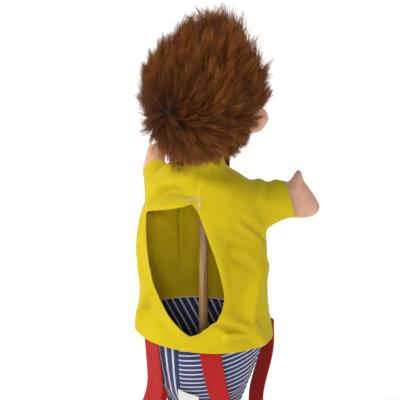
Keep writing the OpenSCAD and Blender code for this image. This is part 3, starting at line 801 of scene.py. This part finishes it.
# ---- Legs ---------------------------------------------------------------------------
# Tubes of the same striped twill, stuffed with polyester, sewn flat to the lower edge of
# the seat so that they swing, and sewn over the shoes at the ankle.
# Height, half the width, half the depth and the place sideways of a leg, in mm
leg_rings = [(-113.5, 14.4, 14.4, 19), (-109, 15.4, 15.2, 19), (-100, 15.2, 15.2, 19),
             (-85, 15.6, 15.6, 19), (-72, 15.6, 14.6, 18.8), (-63, 15.9, 12.8, 18.4),
             (-56, 16.3, 10.6, 17.9), (-50, 16.6, 9, 17.5), (-44, 16.2, 7.5, 17.2)]
leg_z, leg_w, leg_d, leg_x = (np.array(column) for column in zip(*leg_rings))
for side, name in ((-1, "right"), (1, "left")):
    leg = tube(72, 60)
    stripe = leg.verts.layers.float.new("stripe_mm")
    for vert in leg.verts:
        z = leg_z[0] + vert.co.z * (leg_z[-1] - leg_z[0])
        around, ring = math.atan2(vert.co.x, vert.co.y), math.hypot(vert.co.x, vert.co.y)
        pucker = 0.5 * math.exp(-((z + 54) / 5) ** 2) * math.cos(around * 15)
        pucker += 0.45 * math.exp(-((z + 110) / 4) ** 2) * math.cos(around * 19)
        crease = 1.0 * math.exp(-((z + 88 + 2 * math.sin(around)) / 2.2) ** 2) * math.cos(around / 2)
        wide, deep = (np.interp(z, leg_z, column) + pucker - crease for column in (leg_w, leg_d))
        vert[stripe] = z * 1.0 + 2 * math.sin(around + 1) if side < 0 else 16 * around
        vert.co = Vector((side * np.interp(z, leg_z, leg_x) + ring * wide * math.sin(around),
                          ring * deep * math.cos(around) + 0.4 * noise.noise(Vector((around, z / 12, side))),
                          z)) * mm
    bmesh.ops.recalc_face_normals(leg, faces=leg.faces)
    leg_tree = BVHTree.FromBMesh(leg)
    turns = np.linspace(0, 2 * math.pi, 61)
    starts = [Vector((side * 19 + 40 * math.sin(a), 40 * math.cos(a), -110.5)) * mm for a in turns]
    ankle_row = laid_on(leg_tree, starts, [Vector((side * 19, 0, -110.5)) * mm] * 61, 0.05 * mm)
    stitches(leg, ankle_row, 2.3 * mm, 1.6 * mm, 0.3 * mm, 1)
    leg_cloth = finished("leg_cloth_" + name, leg, striped_cotton, seam_thread)
    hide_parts("leg_" + name, "leg_stuffing_" + name)
    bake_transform(leg_cloth)

# ---- Shoes --------------------------------------------------------------------------
# Soft brown suede slippers with a stitched toe seam, filled like the legs, with a flat
# glued sole of pale leather. The soles' solids are right and only get their leather.
suede, nodes, links, shader = principled("suede", (0.10, 0.045, 0.02), 0.9, 0.35, 0.2)
mottle(nodes, links, shader, (0.075, 0.032, 0.013), (0.14, 0.066, 0.030), 140)
place = nodes.new("ShaderNodeTexCoord")
nap = nodes.new("ShaderNodeTexNoise")
nap.inputs["Scale"].default_value = 1500
nap.inputs["Detail"].default_value = 3
links.new(place.outputs["Object"], nap.inputs["Vector"])
relief = nodes.new("ShaderNodeBump")
relief.inputs["Strength"].default_value = 0.6
relief.inputs["Distance"].default_value = 0.0002
links.new(nap.outputs["Fac"], relief.inputs["Height"])
links.new(relief.outputs["Normal"], shader.inputs["Normal"])
shoe_thread, *_ = principled("shoe_thread", (0.55, 0.42, 0.28), 0.6)
sole_leather, nodes, links, shader = principled("sole_leather", (0.40, 0.24, 0.12), 0.55, 0, 0.4)
mottle(nodes, links, shader, (0.34, 0.20, 0.095), (0.46, 0.29, 0.15), 160)
sole_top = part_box("sole_right")[1].z
for side, name in ((-1, "right"), (1, "left")):
    form = bmesh.new()
    parts = [((0, 1, -113), (12.6, 12.6, 12)), ((0, 2, -124), (13.4, 13.2, 13)),
             ((0, -9, -125), (13.2, 13, 11)), ((0, -20, -127), (13.8, 13.4, 9.5))]
    for place, radii in parts:
        shape = Matrix.Translation((Vector(place) + Vector((side * 19, 0, 0))) * mm) @ \
            Matrix.Diagonal((*(r * mm for r in radii), 1))
        bmesh.ops.create_uvsphere(form, u_segments=40, v_segments=24, radius=1, matrix=shape)
    form_piece = finished("shoe_form", form)
    remesh = form_piece.modifiers.new("one_skin", "REMESH")
    remesh.mode = "VOXEL"
    remesh.voxel_size = 0.9 * mm
    shoe = baked(form_piece)
    for _ in range(10):
        bmesh.ops.smooth_vert(shoe, verts=shoe.verts, factor=0.5,
                              use_axis_x=True, use_axis_y=True, use_axis_z=True)
    x = side * 19
    toe_seam = [(x - 13, -6, -122), (x - 10, -17, -119), (x - 5, -24, -118.6), (x, -26, -118.8),
                (x + 5, -24, -118.6), (x + 10, -17, -119), (x + 13, -6, -122)]
    fold(shoe, toe_seam, 0.9, 1.3)
    fold(shoe, [(x - 9, -9, -116), (x, -12, -115.5), (x + 9, -9, -116)], -0.7, 2)
    trim(shoe, Vector((0, 0, sole_top)), Vector((0, 0, -1)))
    rims = [e for e in shoe.edges if e.is_boundary]
    bmesh.ops.holes_fill(shoe, edges=rims, sides=0)
    shoe_tree = BVHTree.FromBMesh(shoe)
    toe_line = smooth_line(toe_seam, 6)
    starts = [Vector((x + (p.x - x) * 1.5, p.y * 1.5 + 3, p.z + 14)) * mm for p in toe_line]
    toe_row = laid_on(shoe_tree, starts, [p * mm for p in toe_line], 0.1 * mm)
    stitches(shoe, toe_row, 2.2 * mm, 1.5 * mm, 0.45 * mm, 1)
    foot = [Vector((x + 30 * math.sin(a), -9 + 40 * math.cos(a), -130.5)) * mm for a in turns]
    welt_aims = [Vector((x, -9 + 11 * math.cos(a), -130.5)) * mm for a in turns]
    welt = laid_on(shoe_tree, foot, welt_aims, 0.1 * mm)
    stitches(shoe, welt, 2.6 * mm, 1.8 * mm, 0.45 * mm, 1)
    slipper = finished("slipper_" + name, shoe, suede, shoe_thread)
    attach(slipper, "leg_" + name)
    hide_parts("shoe_" + name)
    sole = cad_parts["sole_" + name]
    sole.data.materials.clear()
    sole.data.materials.append(sole_leather)

# ---- Suspenders ---------------------------------------------------------------------
# Red herringbone webbing, 18 mm wide. Each strap hangs as a loop at one side: its back
# end is sewn to the waist under the shirt, and its front end to the shirt over the hem.
webbing, nodes, links, shader = principled("webbing", (0.50, 0.010, 0.010), 0.8, 0.05, 0.15)
mottle(nodes, links, shader, (0.43, 0.006, 0.006), (0.50, 0.010, 0.009), 110)
along_mm = nodes.new("ShaderNodeAttribute")
along_mm.attribute_name = "along_mm"
across_mm = nodes.new("ShaderNodeAttribute")
across_mm.attribute_name = "across_mm"
chevron = nodes.new("ShaderNodeMath")
chevron.operation = "PINGPONG"
chevron.inputs[1].default_value = 2.0
links.new(across_mm.outputs["Fac"], chevron.inputs[0])
slant = nodes.new("ShaderNodeMath")
slant.operation = "ADD"
links.new(along_mm.outputs["Fac"], slant.inputs[0])
links.new(chevron.outputs[0], slant.inputs[1])
rib = nodes.new("ShaderNodeMath")
rib.operation = "MULTIPLY"
rib.inputs[1].default_value = 2 * math.pi / 1.1
links.new(slant.outputs[0], rib.inputs[0])
ridge = nodes.new("ShaderNodeMath")
ridge.operation = "SINE"
links.new(rib.outputs[0], ridge.inputs[0])
relief = nodes.new("ShaderNodeBump")
relief.inputs["Strength"].default_value = 1.0
relief.inputs["Distance"].default_value = 0.00012
links.new(ridge.outputs[0], relief.inputs["Height"])
links.new(relief.outputs["Normal"], shader.inputs["Normal"])

strap_width, strap_drop, strap_flare, strap_off = 18, 109, 22, 4.5
hem_cloth = bmesh.new()
hem_cloth.from_mesh(shirt_body.data)
shirt_tree = BVHTree.FromBMesh(hem_cloth)
hem_cloth.free()
loop_top_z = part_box("suspender_right")[1].z / mm
seat_twist, strap_back, strap_front = 12, 29, 134


def strap_end(side, angle):
    """Where a strap's end hangs from, beside the seat, and the way along the cloth there."""
    turn = math.radians(seat_twist + side * angle)
    wide = np.interp(loop_top_z, (7, 34), (52, 58.3)) + strap_off
    deep = np.interp(loop_top_z, (7, 34), (38, 40.3)) + strap_off
    place = Vector((wide * math.sin(turn), deep * math.cos(turn), loop_top_z))
    return place, Vector((wide * math.cos(turn), -deep * math.sin(turn), 0)).normalized()


for side, name in ((-1, "right"), (1, "left")):
    (back, back_way), (front, front_way) = strap_end(side, strap_back), strap_end(side, strap_front)
    chord = (back - front).normalized()
    outward = side * Vector((chord.y, -chord.x, 0))
    middles, widths = [], []
    for k in range(121):
        u = math.cos(math.pi * k / 120)
        sag = strap_drop * (1 - ((u * u + 0.03) / 1.03) ** 0.8)
        middles.append((back + front) / 2 + u * (back - front) / 2
                       + strap_flare * (1 - u * u) ** 4 * outward - Vector((0, 0, sag)))
        widths.append(side * ((1 + u) / 2 * back_way - (1 - u) / 2 * front_way))
    inward = Vector((-back.x, -back.y, 0)).normalized()
    tucked = [back + inward * (3.0 * (t / 3) ** 0.7) + Vector((0, 0, 4 * t)) for t in (3, 2, 1)]
    over_hem = [front + Vector((0, 0, t)) for t in (1.5, 3, 4.5, 6, 7.5, 9)]
    middles = tucked + middles + over_hem
    widths = [side * back_way] * 3 + widths + [-side * front_way] * 6
    for k, place in enumerate(middles):
        share = min(max((place.z + 45) / 65, 0), 1) if k > len(middles) / 2 else 0
        if share > 0:
            ray = Vector((place.x, place.y, 0)).normalized()
            hit, *_ = shirt_tree.ray_cast((ray * 100 + Vector((0, 0, max(place.z, 28)))) * mm, -ray)
            clear = Vector((hit.x, hit.y, 0)).length / mm + 1.3 - Vector((place.x, place.y, 0)).length
            middles[k] = place + ray * clear * share * share * (3 - 2 * share)
    lengths = np.concatenate([[0], np.cumsum([(b - a).length for a, b in zip(middles, middles[1:])])])
    rows = np.linspace(0, lengths[-1], 131)
    centre = [Vector([np.interp(r, lengths, [p[k] for p in middles]) for k in range(3)]) for r in rows]
    edge_way = [Vector([np.interp(r, lengths, [w[k] for w in widths]) for k in range(3)]) for r in rows]
    strap = bmesh.new()
    bmesh.ops.create_grid(strap, x_segments=130, y_segments=12, size=0.5)
    along = strap.verts.layers.float.new("along_mm")
    across = strap.verts.layers.float.new("across_mm")
    for vert in strap.verts:
        k = round((vert.co.x + 0.5) * 130)
        ahead = (centre[min(k + 1, 130)] - centre[max(k - 1, 0)]).normalized()
        face = ahead.cross(edge_way[k]).normalized()
        edge = face.cross(ahead)
        vert[along], vert[across] = rows[k], (vert.co.y + 0.5) * strap_width
        cup = 0.35 * (2 * vert.co.y) ** 2 + 0.25 * math.sin(rows[k] / 9)
        vert.co = (centre[k] + edge * vert.co.y * strap_width + face * cup) * mm
    bmesh.ops.recalc_face_normals(strap, faces=strap.faces)
    bmesh.ops.solidify(strap, geom=list(strap.faces), thickness=1.1 * mm)
    strap_piece = finished("strap_" + name, strap, webbing)
    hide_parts("suspender_" + name)
    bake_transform(strap_piece)

# ---- Head ---------------------------------------------------------------------------
# A stuffed ball of skin-coloured knit with full cheeks, drawn in at the neck over a
# rolled board that the rod is glued into. It looks a little toward its right.
head_turn = Matrix.Rotation(math.radians(-10), 4, "Z")
skull_low, skull_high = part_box("head_skin")
head_r = skull_high.x / mm
head_half = head_r * 46 / 42
head_z = skull_high.z / mm - head_half


def balls_in_one(parts, voxel, rounds):
    """Balls, each a place and three radii in mm, melted into one smooth skin."""
    form = bmesh.new()
    for place, radii in parts:
        shape = Matrix.Translation(Vector(place) * mm) @ Matrix.Diagonal((*(r * mm for r in radii), 1))
        bmesh.ops.create_uvsphere(form, u_segments=48, v_segments=28, radius=1, matrix=shape)
    piece = finished("form", form)
    remesh = piece.modifiers.new("one_skin", "REMESH")
    remesh.mode = "VOXEL"
    remesh.voxel_size = voxel * mm
    bm = baked(piece)
    for _ in range(rounds):
        bmesh.ops.smooth_vert(bm, verts=bm.verts, factor=0.5,
                              use_axis_x=True, use_axis_y=True, use_axis_z=True)
    return bm


head_fabric, nodes, links, shader = principled("head_fabric", (0.60, 0.33, 0.23), 0.85, 0.3, 0.2)
weave(nodes, links, shader, 0.5 * mm, 0.03 * mm)
blush = nodes.new("ShaderNodeAttribute")
blush.attribute_name = "blush"
warmth = nodes.new("ShaderNodeValToRGB")
warmth.color_ramp.elements[0].color = (0.66, 0.37, 0.26, 1)
warmth.color_ramp.elements[1].color = (0.66, 0.25, 0.18, 1)
links.new(blush.outputs["Fac"], warmth.inputs["Fac"])
links.new(warmth.outputs["Color"], shader.inputs["Base Color"])
shader.inputs["Subsurface Weight"].default_value = 0.15
shader.inputs["Subsurface Radius"].default_value = (1.0, 0.5, 0.35)
shader.inputs["Subsurface Scale"].default_value = 1.5 * mm

head = balls_in_one([((0, 0, head_z), (head_r - 0.3, head_r - 0.3, head_half - 0.3)),
                     ((-19, -25, head_z - 14), (15, 13, 13)), ((19, -25, head_z - 14), (15, 13, 13)),
                     ((0, -28, head_z - 27), (13, 11, 9)), ((0, -20, head_z - 20), (25, 17, 19)),
                     ((0, 0, head_z - 40), (14.4, 14.4, 22))], 1.1, 10)
rosy = head.verts.layers.float.new("blush")
for vert in head.verts:
    for side in (-1, 1):
        gap = (vert.co / mm - Vector((22 * side, -36, head_z - 12))).length
        vert[rosy] += 0.8 * math.exp(-(gap / 8) ** 2)
fold(head, [(-9, -38, head_z + 1), (-15, -37, head_z + 8), (-21, -33, head_z + 2)], -0.5, 4)
fold(head, [(9, -38, head_z + 1), (15, -37, head_z + 8), (21, -33, head_z + 2)], -0.5, 4)
trim(head, Vector((0, 0, skull_low.z)), Vector((0, 0, -1)))
bmesh.ops.holes_fill(head, edges=[e for e in head.edges if e.is_boundary], sides=0)
head_tree = BVHTree.FromBMesh(head)
head_piece_mesh = head.copy()
bmesh.ops.transform(head_piece_mesh, matrix=head_turn, verts=head_piece_mesh.verts)
head_skin = finished("head_knit", head_piece_mesh, head_fabric)
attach(head_skin, "head")
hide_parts("head_skin", "head_stuffing")

neck_board, nodes, links, shader = principled("neck_board", (0.42, 0.33, 0.20), 0.8)
mottle(nodes, links, shader, (0.36, 0.27, 0.16), (0.46, 0.37, 0.24), 200)
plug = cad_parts["neck_plug"]
plug.data.materials.clear()
plug.data.materials.append(neck_board)

# ---- Nose and ears ------------------------------------------------------------------
# Small stuffed pads of the same knit, sewn to the head by hand: a round nose, and two
# ears with a shallow hollow that stand out through the fur.
nose = balls_in_one([((0, 0.5 - head_r, head_z - 6), (6.4, 6.0, 5.8))], 0.6, 3)
bmesh.ops.transform(nose, matrix=head_turn, verts=nose.verts)
nose_pad = finished("nose_pad", nose, skin_fabric)
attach(nose_pad, "head")
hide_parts("nose")

for side, name in ((-1, "right"), (1, "left")):
    ear = bmesh.new()
    bmesh.ops.create_uvsphere(ear, u_segments=48, v_segments=32, radius=1)
    for vert in ear.verts:
        across, up = side * vert.co.x, vert.co.z
        hollow = math.exp(-((across - 0.12) ** 2 + (up - 0.1) ** 2) / 0.16)
        dent = 1.5 * hollow if vert.co.y < 0 else 0
        pad = 1 - 0.25 * max(-up, 0)
        vert.co = Vector((side * across * 10.6 * pad, vert.co.y * 4.3 + dent * 1.2, up * 11.2))
    bmesh.ops.rotate(ear, verts=ear.verts, cent=(0, 0, 0),
                     matrix=Matrix.Rotation(math.radians(side * -18), 3, "Z"))
    bmesh.ops.scale(ear, vec=(mm, mm, mm), verts=ear.verts)
    bmesh.ops.translate(ear, verts=ear.verts, vec=Vector((side * (head_r + 2.6), -2, head_z - 13)) * mm)
    bmesh.ops.transform(ear, matrix=head_turn, verts=ear.verts)
    ear_pad = finished("ear_pad_" + name, ear, skin_fabric)
    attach(ear_pad, "head")
    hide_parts("ear_" + name)

# ---- Eyes, brows and mouth ----------------------------------------------------------
# Flat shapes cut from wool felt and glued on: black eyes with one white stitch each,
# dark brows, and a red mouth in a quiet, closed smile.
dark_felt, nodes, links, shader = principled("dark_felt", (0.010, 0.008, 0.007), 0.95, 0.3, 0.1)
mottle(nodes, links, shader, (0.007, 0.006, 0.005), (0.016, 0.012, 0.010), 900)
brow_felt, nodes, links, shader = principled("brow_felt", (0.055, 0.024, 0.010), 0.95, 0.3, 0.1)
mottle(nodes, links, shader, (0.04, 0.018, 0.008), (0.07, 0.032, 0.014), 900)
red_felt, nodes, links, shader = principled("red_felt", (0.36, 0.03, 0.03), 0.95, 0.3, 0.1)
mottle(nodes, links, shader, (0.30, 0.022, 0.022), (0.42, 0.038, 0.036), 900)
eye_stitch, *_ = principled("eye_stitch", (0.75, 0.74, 0.70), 0.6)


def felt_patch(x, z, half_wide, half_tall, bend, lean=0.0, thick=0.9):
    """A rounded felt shape glued to the face; bend curves it and lean turns it."""
    patch = bmesh.new()
    bmesh.ops.create_grid(patch, x_segments=22, y_segments=16, size=1)
    for vert in patch.verts:
        a, b = vert.co.x, vert.co.y
        a, b = a * math.sqrt(1 - b * b / 2), b * math.sqrt(1 - a * a / 2)
        a, b = a * half_wide, b * half_tall + bend * a * a
        a, b = a * math.cos(lean) - b * math.sin(lean), a * math.sin(lean) + b * math.cos(lean)
        hit, normal, *_ = head_tree.ray_cast(Vector((x + a, -90, z + b)) * mm, Vector((0, 1, 0)))
        vert.co = hit + normal * thick * mm
    bmesh.ops.recalc_face_normals(patch, faces=patch.faces)
    middle = patch.faces[len(patch.faces) // 2]
    if middle.normal.y > 0:
        bmesh.ops.reverse_faces(patch, faces=patch.faces)
    bmesh.ops.solidify(patch, geom=list(patch.faces), thickness=thick * 1.1 * mm)
    return patch


for side, name in ((-1, "right"), (1, "left")):
    eye = felt_patch(side * 13.5, head_z + 4, 3.7, 4.7, 0)
    tree = BVHTree.FromBMesh(eye)
    glint = [Vector((side * 13.5 + right, -90, head_z + up)) * mm for right, up in ((1.1, 5.2), (1.7, 7.0))]
    spots = laid_on(tree, glint, [Vector((p.x, 0, p.z)) for p in glint], 0.15 * mm)
    stitches(eye, spots, 1.9 * mm, 1.7 * mm, 0.8 * mm, 1)
    brow = felt_patch(side * 13.8, head_z + 14.5, 6.2, 1.4, -0.035, lean=-side * 0.08)
    for shape, label_name, node_name, materials in ((eye, "eye_felt_", "eye_", (dark_felt, eye_stitch)),
                                                    (brow, "brow_felt_", "brow_", (brow_felt,))):
        bmesh.ops.transform(shape, matrix=head_turn, verts=shape.verts)
        piece = finished(label_name + name, shape, *materials)
        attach(piece, "head")
        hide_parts(node_name + name)
mouth = felt_patch(0, head_z - 19, 9, 1.5, 0.035)
bmesh.ops.transform(mouth, matrix=head_turn, verts=mouth.verts)
mouth_felt = finished("mouth_felt", mouth, red_felt)
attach(mouth_felt, "head")
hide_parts("mouth")

# ---- Fur wig ------------------------------------------------------------------------
# Long-pile brown fake fur on a dark knitted back, cut as a cap and sewn on round the
# face and behind the ears. The pile turns about a whorl low on the back of the head,
# stands up on the crown and falls over the neck, and it clings together in locks.
fur_back, nodes, links, shader = principled("fur_back", (0.030, 0.012, 0.006), 0.95)
mottle(nodes, links, shader, (0.020, 0.008, 0.004), (0.045, 0.018, 0.008), 500)
cap_r, cap_half = head_r + 0.7, head_half + 0.7


def furry(x, y, z, inside=0.0):
    """Where the wig covers the head: not on the face, and not in front of the ears."""
    bare_face = (y < 0) & ((x / (31 + inside)) ** 2 + ((z - head_z + 10) / (35 + inside)) ** 2 < 1)
    bare_cheek = (y < inside - 6) & (z < head_z - 11 + inside)
    return ~(bare_face | bare_cheek) & (z > head_z - cap_half * 0.89)


cap = bmesh.new()
bmesh.ops.create_uvsphere(cap, u_segments=120, v_segments=80, radius=1)
bmesh.ops.scale(cap, vec=Vector((cap_r, cap_r, cap_half)) * mm, verts=cap.verts)
bmesh.ops.translate(cap, vec=(0, 0, head_z * mm), verts=cap.verts)
bald = [f for f in cap.faces if not furry(*(f.calc_center_median() / mm), inside=4.5)]
bmesh.ops.delete(cap, geom=bald, context="FACES")
bmesh.ops.solidify(cap, geom=list(cap.faces), thickness=0.6 * mm)
bmesh.ops.transform(cap, matrix=head_turn, verts=cap.verts)
wig_cap = finished("wig_cap", cap, fur_back)
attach(wig_cap, "head")
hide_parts("fur_wig")

# Each strand darkens toward its root: painted shade deep in the pile, over lighter reddish-brown tips that
# are the fur's own colour.
fur_pile, nodes, links, shader = principled("fur_pile", (0.16, 0.055, 0.014), 0.5, 0.0, 0.16)
height_on_strand = nodes.new("ShaderNodeAttribute")
height_on_strand.attribute_name = "root_to_tip"
lock_tone = nodes.new("ShaderNodeAttribute")
lock_tone.attribute_name = "lock_tone"
tone_share = nodes.new("ShaderNodeMath")
tone_share.operation = "MULTIPLY_ADD"
tone_share.inputs[1].default_value = 0.52
links.new(lock_tone.outputs["Fac"], tone_share.inputs[0])
rise = nodes.new("ShaderNodeMath")
rise.operation = "MULTIPLY"
rise.inputs[1].default_value = 0.52
links.new(height_on_strand.outputs["Fac"], rise.inputs[0])
links.new(rise.outputs[0], tone_share.inputs[2])
browns = nodes.new("ShaderNodeValToRGB")
browns.color_ramp.elements[0].color = (0.030, 0.008, 0.002, 1)
browns.color_ramp.elements[0].position = 0.05
browns.color_ramp.elements[1].color = (0.50, 0.185, 0.040, 1)
browns.color_ramp.elements[1].position = 1.0
for position, colour in ((0.35, (0.110, 0.030, 0.005)), (0.68, (0.24, 0.072, 0.011))):
    browns.color_ramp.elements.new(position).color = (*colour, 1)
links.new(tone_share.outputs[0], browns.inputs["Fac"])
links.new(browns.outputs["Color"], shader.inputs["Base Color"])

chance = np.random.default_rng(11)
whorl = np.array([math.sin(math.radians(17)), math.cos(math.radians(17)), -0.04])
whorl /= np.linalg.norm(whorl)
whole_head = np.array([cap_r, cap_r, cap_half])


def unit(vectors):
    return vectors / np.linalg.norm(vectors, axis=-1, keepdims=True)


def scattered(count):
    """Even but irregular directions from the head's middle that end on the wig."""
    k = np.arange(count) + 0.5
    up = 1 - 2 * k / count
    turn = k * math.pi * (1 + 5 ** 0.5)
    flat = np.sqrt(1 - up ** 2)
    out = np.stack([flat * np.cos(turn), flat * np.sin(turn), up], axis=1)
    out = unit(out + chance.normal(0, 1.1 / math.sqrt(count), out.shape))
    x, y, z = (out * whole_head + [0, 0, head_z]).T
    ears = (np.hypot(np.abs(x) - head_r + 1, z - head_z + 13) < 7) & (np.abs(y + 2) < 9)
    return out[furry(x, y, z) & ~ears]


def combed(out):
    """Which way the pile leans at a place on the head, and how long it is there, in mm."""
    away = unit((out @ whorl)[:, None] * out - whorl + 1e-6)
    up = unit(np.array([0, 0, 1.0]) - out[:, 2:3] * out + 1e-6)
    rising = np.clip((out[:, 2] + 0.42) / 0.5, 0, 1)[:, None]
    lean = unit(away * (1.15 - 0.35 * rising) + up * (1.35 * rising - 0.45 * (1 - rising)))
    crown = np.clip((out[:, 2] - 0.15) / 0.7, 0, 1)
    nape = np.clip((-out[:, 2] - 0.50) / 0.3, 0, 1) * (out[:, 1] > -0.3)
    long = 20.0 + 8.5 * crown ** 1.1 + nape * np.clip(25 * out[:, 0] - 3, -7, 6)
    long *= 1 - 0.27 * np.clip((out[:, 0] - 0.15) / 0.3, 0, 1) * np.clip((out[:, 2] - 0.15) / 0.3, 0, 1)
    behind_ear = np.clip((-out[:, 0] - 0.35) / 0.3, 0, 1) * np.exp(-((out[:, 2] + 0.46) / 0.22) ** 2)
    long *= 1 - 0.48 * behind_ear
    across = out[:, 0] * 0.94 + out[:, 1] * 0.34
    long += 7 * np.exp(-((across + 0.5) / 0.25) ** 2) * np.clip((out[:, 2] - 0.3) / 0.4, 0, 1)
    for gap_at, gap_wide, depth in ((-0.27, 0.05, 0.60), (0.28, 0.045, 0.45), (0.60, 0.05, 0.35)):
        long *= 1 - depth * np.exp(-((across - gap_at) / gap_wide) ** 2) * (out[:, 2] > 0.35)
    long *= np.where((out[:, 1] < -0.35) & (out[:, 2] < 0.75), 0.62, 1.0)
    return lean, long


def strand_paths(out, first, last, long, steps):
    """Places along strands that leave the head one way and bend toward another."""
    t = steps[None, :, None]
    root = (out * whole_head + [0, 0, head_z])[:, None, :]
    return root + long[:, None, None] * (first[:, None, :] * (t - t * t / 2) + last[:, None, :] * t * t / 2)


steps = np.array([0.0, 0.3, 0.6, 0.84, 1.0])
lock_out = scattered(1500)
lock_lean, lock_long = combed(lock_out)
lock_lean = unit(lock_lean + chance.normal(0, 0.24, lock_lean.shape))
on_crown = np.clip((lock_out[:, 2] - 0.2) / 0.5, 0, 1)
lock_long = lock_long * (1 + chance.uniform(-1, 1, len(lock_out)) * (0.20 + 0.14 * on_crown))
flat_whorl = 1 - 0.5 * np.exp(-(np.arccos(np.clip(lock_out @ whorl, -1, 1)) / 0.7) ** 2)[:, None]
lock_first = unit(lock_out * 0.72 * flat_whorl + lock_lean * 0.9)
lock_last = unit(lock_out * (0.30 + 0.15 * on_crown)[:, None] * flat_whorl + lock_lean * 1.2 + [0, 0, 0.12])
lock_path = strand_paths(lock_out, lock_first, lock_last, lock_long, steps)
lock_shade = chance.uniform(0, 1, len(lock_out)) ** 1.2

strand_out = scattered(62000)
nearest = np.concatenate([(strand_out[k:k + 2000] @ lock_out.T).argmax(1)
                          for k in range(0, len(strand_out), 2000)])
strand_lean, strand_long = combed(strand_out)
strand_long = lock_long[nearest] * chance.uniform(0.62, 1.10, len(nearest))
stray = chance.random(len(nearest)) < 0.16
strand_long[stray] *= 1.10
jitter = chance.normal(0, 0.09, strand_lean.shape) * np.where(stray, 3.0, 1.0)[:, None]
strand_first = unit(lock_first[nearest] + jitter)
strand_last = unit(lock_last[nearest] + jitter * 1.5)
path = strand_paths(strand_out, strand_first, strand_last, strand_long, steps)
hold = np.where(stray, 0.15, chance.uniform(0.25, 0.85, len(nearest)))[:, None, None]
pull = hold * (steps ** 1.25)[None, :, None]
middle_path = lock_path[nearest] + (strand_long / lock_long[nearest] - 1)[:, None, None] * \
    (lock_path[nearest] - lock_path[nearest][:, :1])
path = path * (1 - pull) + middle_path * pull
path[:, 1:] += chance.normal(0, 0.25, path[:, 1:].shape) * steps[None, 1:, None]

# One strand: a three-sided blade in five steps, which is drawn to a point
blade = bmesh.new()
bmesh.ops.create_cone(blade, cap_ends=False, segments=3, radius1=1, radius2=1, depth=1)
uprights = [e for e in blade.edges if abs(e.verts[0].co.z - e.verts[1].co.z) > 0.5]
bmesh.ops.subdivide_edges(blade, edges=uprights, cuts=3)
top = [v for v in blade.verts if v.co.z > 0.49]
bmesh.ops.pointmerge(blade, verts=top, merge_co=(0, 0, 0.5))
bmesh.ops.triangulate(blade, faces=blade.faces)
blade.verts.index_update()
blade_rows = np.array([round((v.co.z + 0.5) * 4) for v in blade.verts])
blade_turn = np.array([math.atan2(v.co.y, v.co.x) for v in blade.verts])
blade_faces = np.array([[v.index for v in f.verts] for f in blade.faces])
blade.free()
thickness = np.array([0.17, 0.17, 0.135, 0.085, 0.0])
along = unit(np.gradient(path, axis=1))
side_way = unit(np.cross(along, unit(chance.normal(0, 1, (len(path), 1, 3)))))
other_way = np.cross(along, side_way)
ring = side_way[:, blade_rows] * np.cos(blade_turn)[None, :, None] + \
    other_way[:, blade_rows] * np.sin(blade_turn)[None, :, None]
bulk = thickness[blade_rows][None, :, None] * chance.uniform(0.75, 1.25, (len(path), 1, 1))
points = path[:, blade_rows] + ring * bulk
turned = np.array(head_turn.to_3x3())
points = points @ turned.T * mm
# Share of the way from root to tip, which sets the painted shade at the pile's roots
tip_share = np.broadcast_to(steps[blade_rows], points.shape[:2])
nape_red = np.clip((-strand_out[:, 2] - 0.55) / 0.3, 0, 1)
shade = np.clip(lock_shade[nearest] * 0.6 + chance.uniform(0, 0.4, len(nearest)) + 0.25 * nape_red, 0, 1)
# Strands are darkened close to the whorl: painted shade where the pile parts.
whorl_painted_shade = np.exp(-((1 - strand_out @ whorl) / 0.09) ** 2)
shade = shade * (1 - 0.75 * whorl_painted_shade)
order = np.argsort(strand_out[:, 2], kind="stable")
for number, part in enumerate(np.array_split(order, 7)):
    count = len(part)
    mesh = bpy.data.meshes.new("fur_pile_%d" % (number + 1))
    faces = (blade_faces[None] + (np.arange(count) * len(blade_rows))[:, None, None]).reshape(-1, 3)
    mesh.from_pydata(points[part].reshape(-1, 3), [], faces.tolist())
    for title, values in (("root_to_tip", tip_share[part]),
                          ("lock_tone", np.repeat(shade[part, None], len(blade_rows), axis=1))):
        layer = mesh.attributes.new(title, "FLOAT", "POINT")
        layer.data.foreach_set("value", np.ascontiguousarray(values, dtype=np.float32).ravel())
    mesh.materials.append(fur_pile)
    mesh.shade_smooth()
    pile = bpy.data.objects.new(mesh.name, mesh)
    bpy.context.scene.collection.objects.link(pile)
    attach(pile, "head")
    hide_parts("fur_wig")
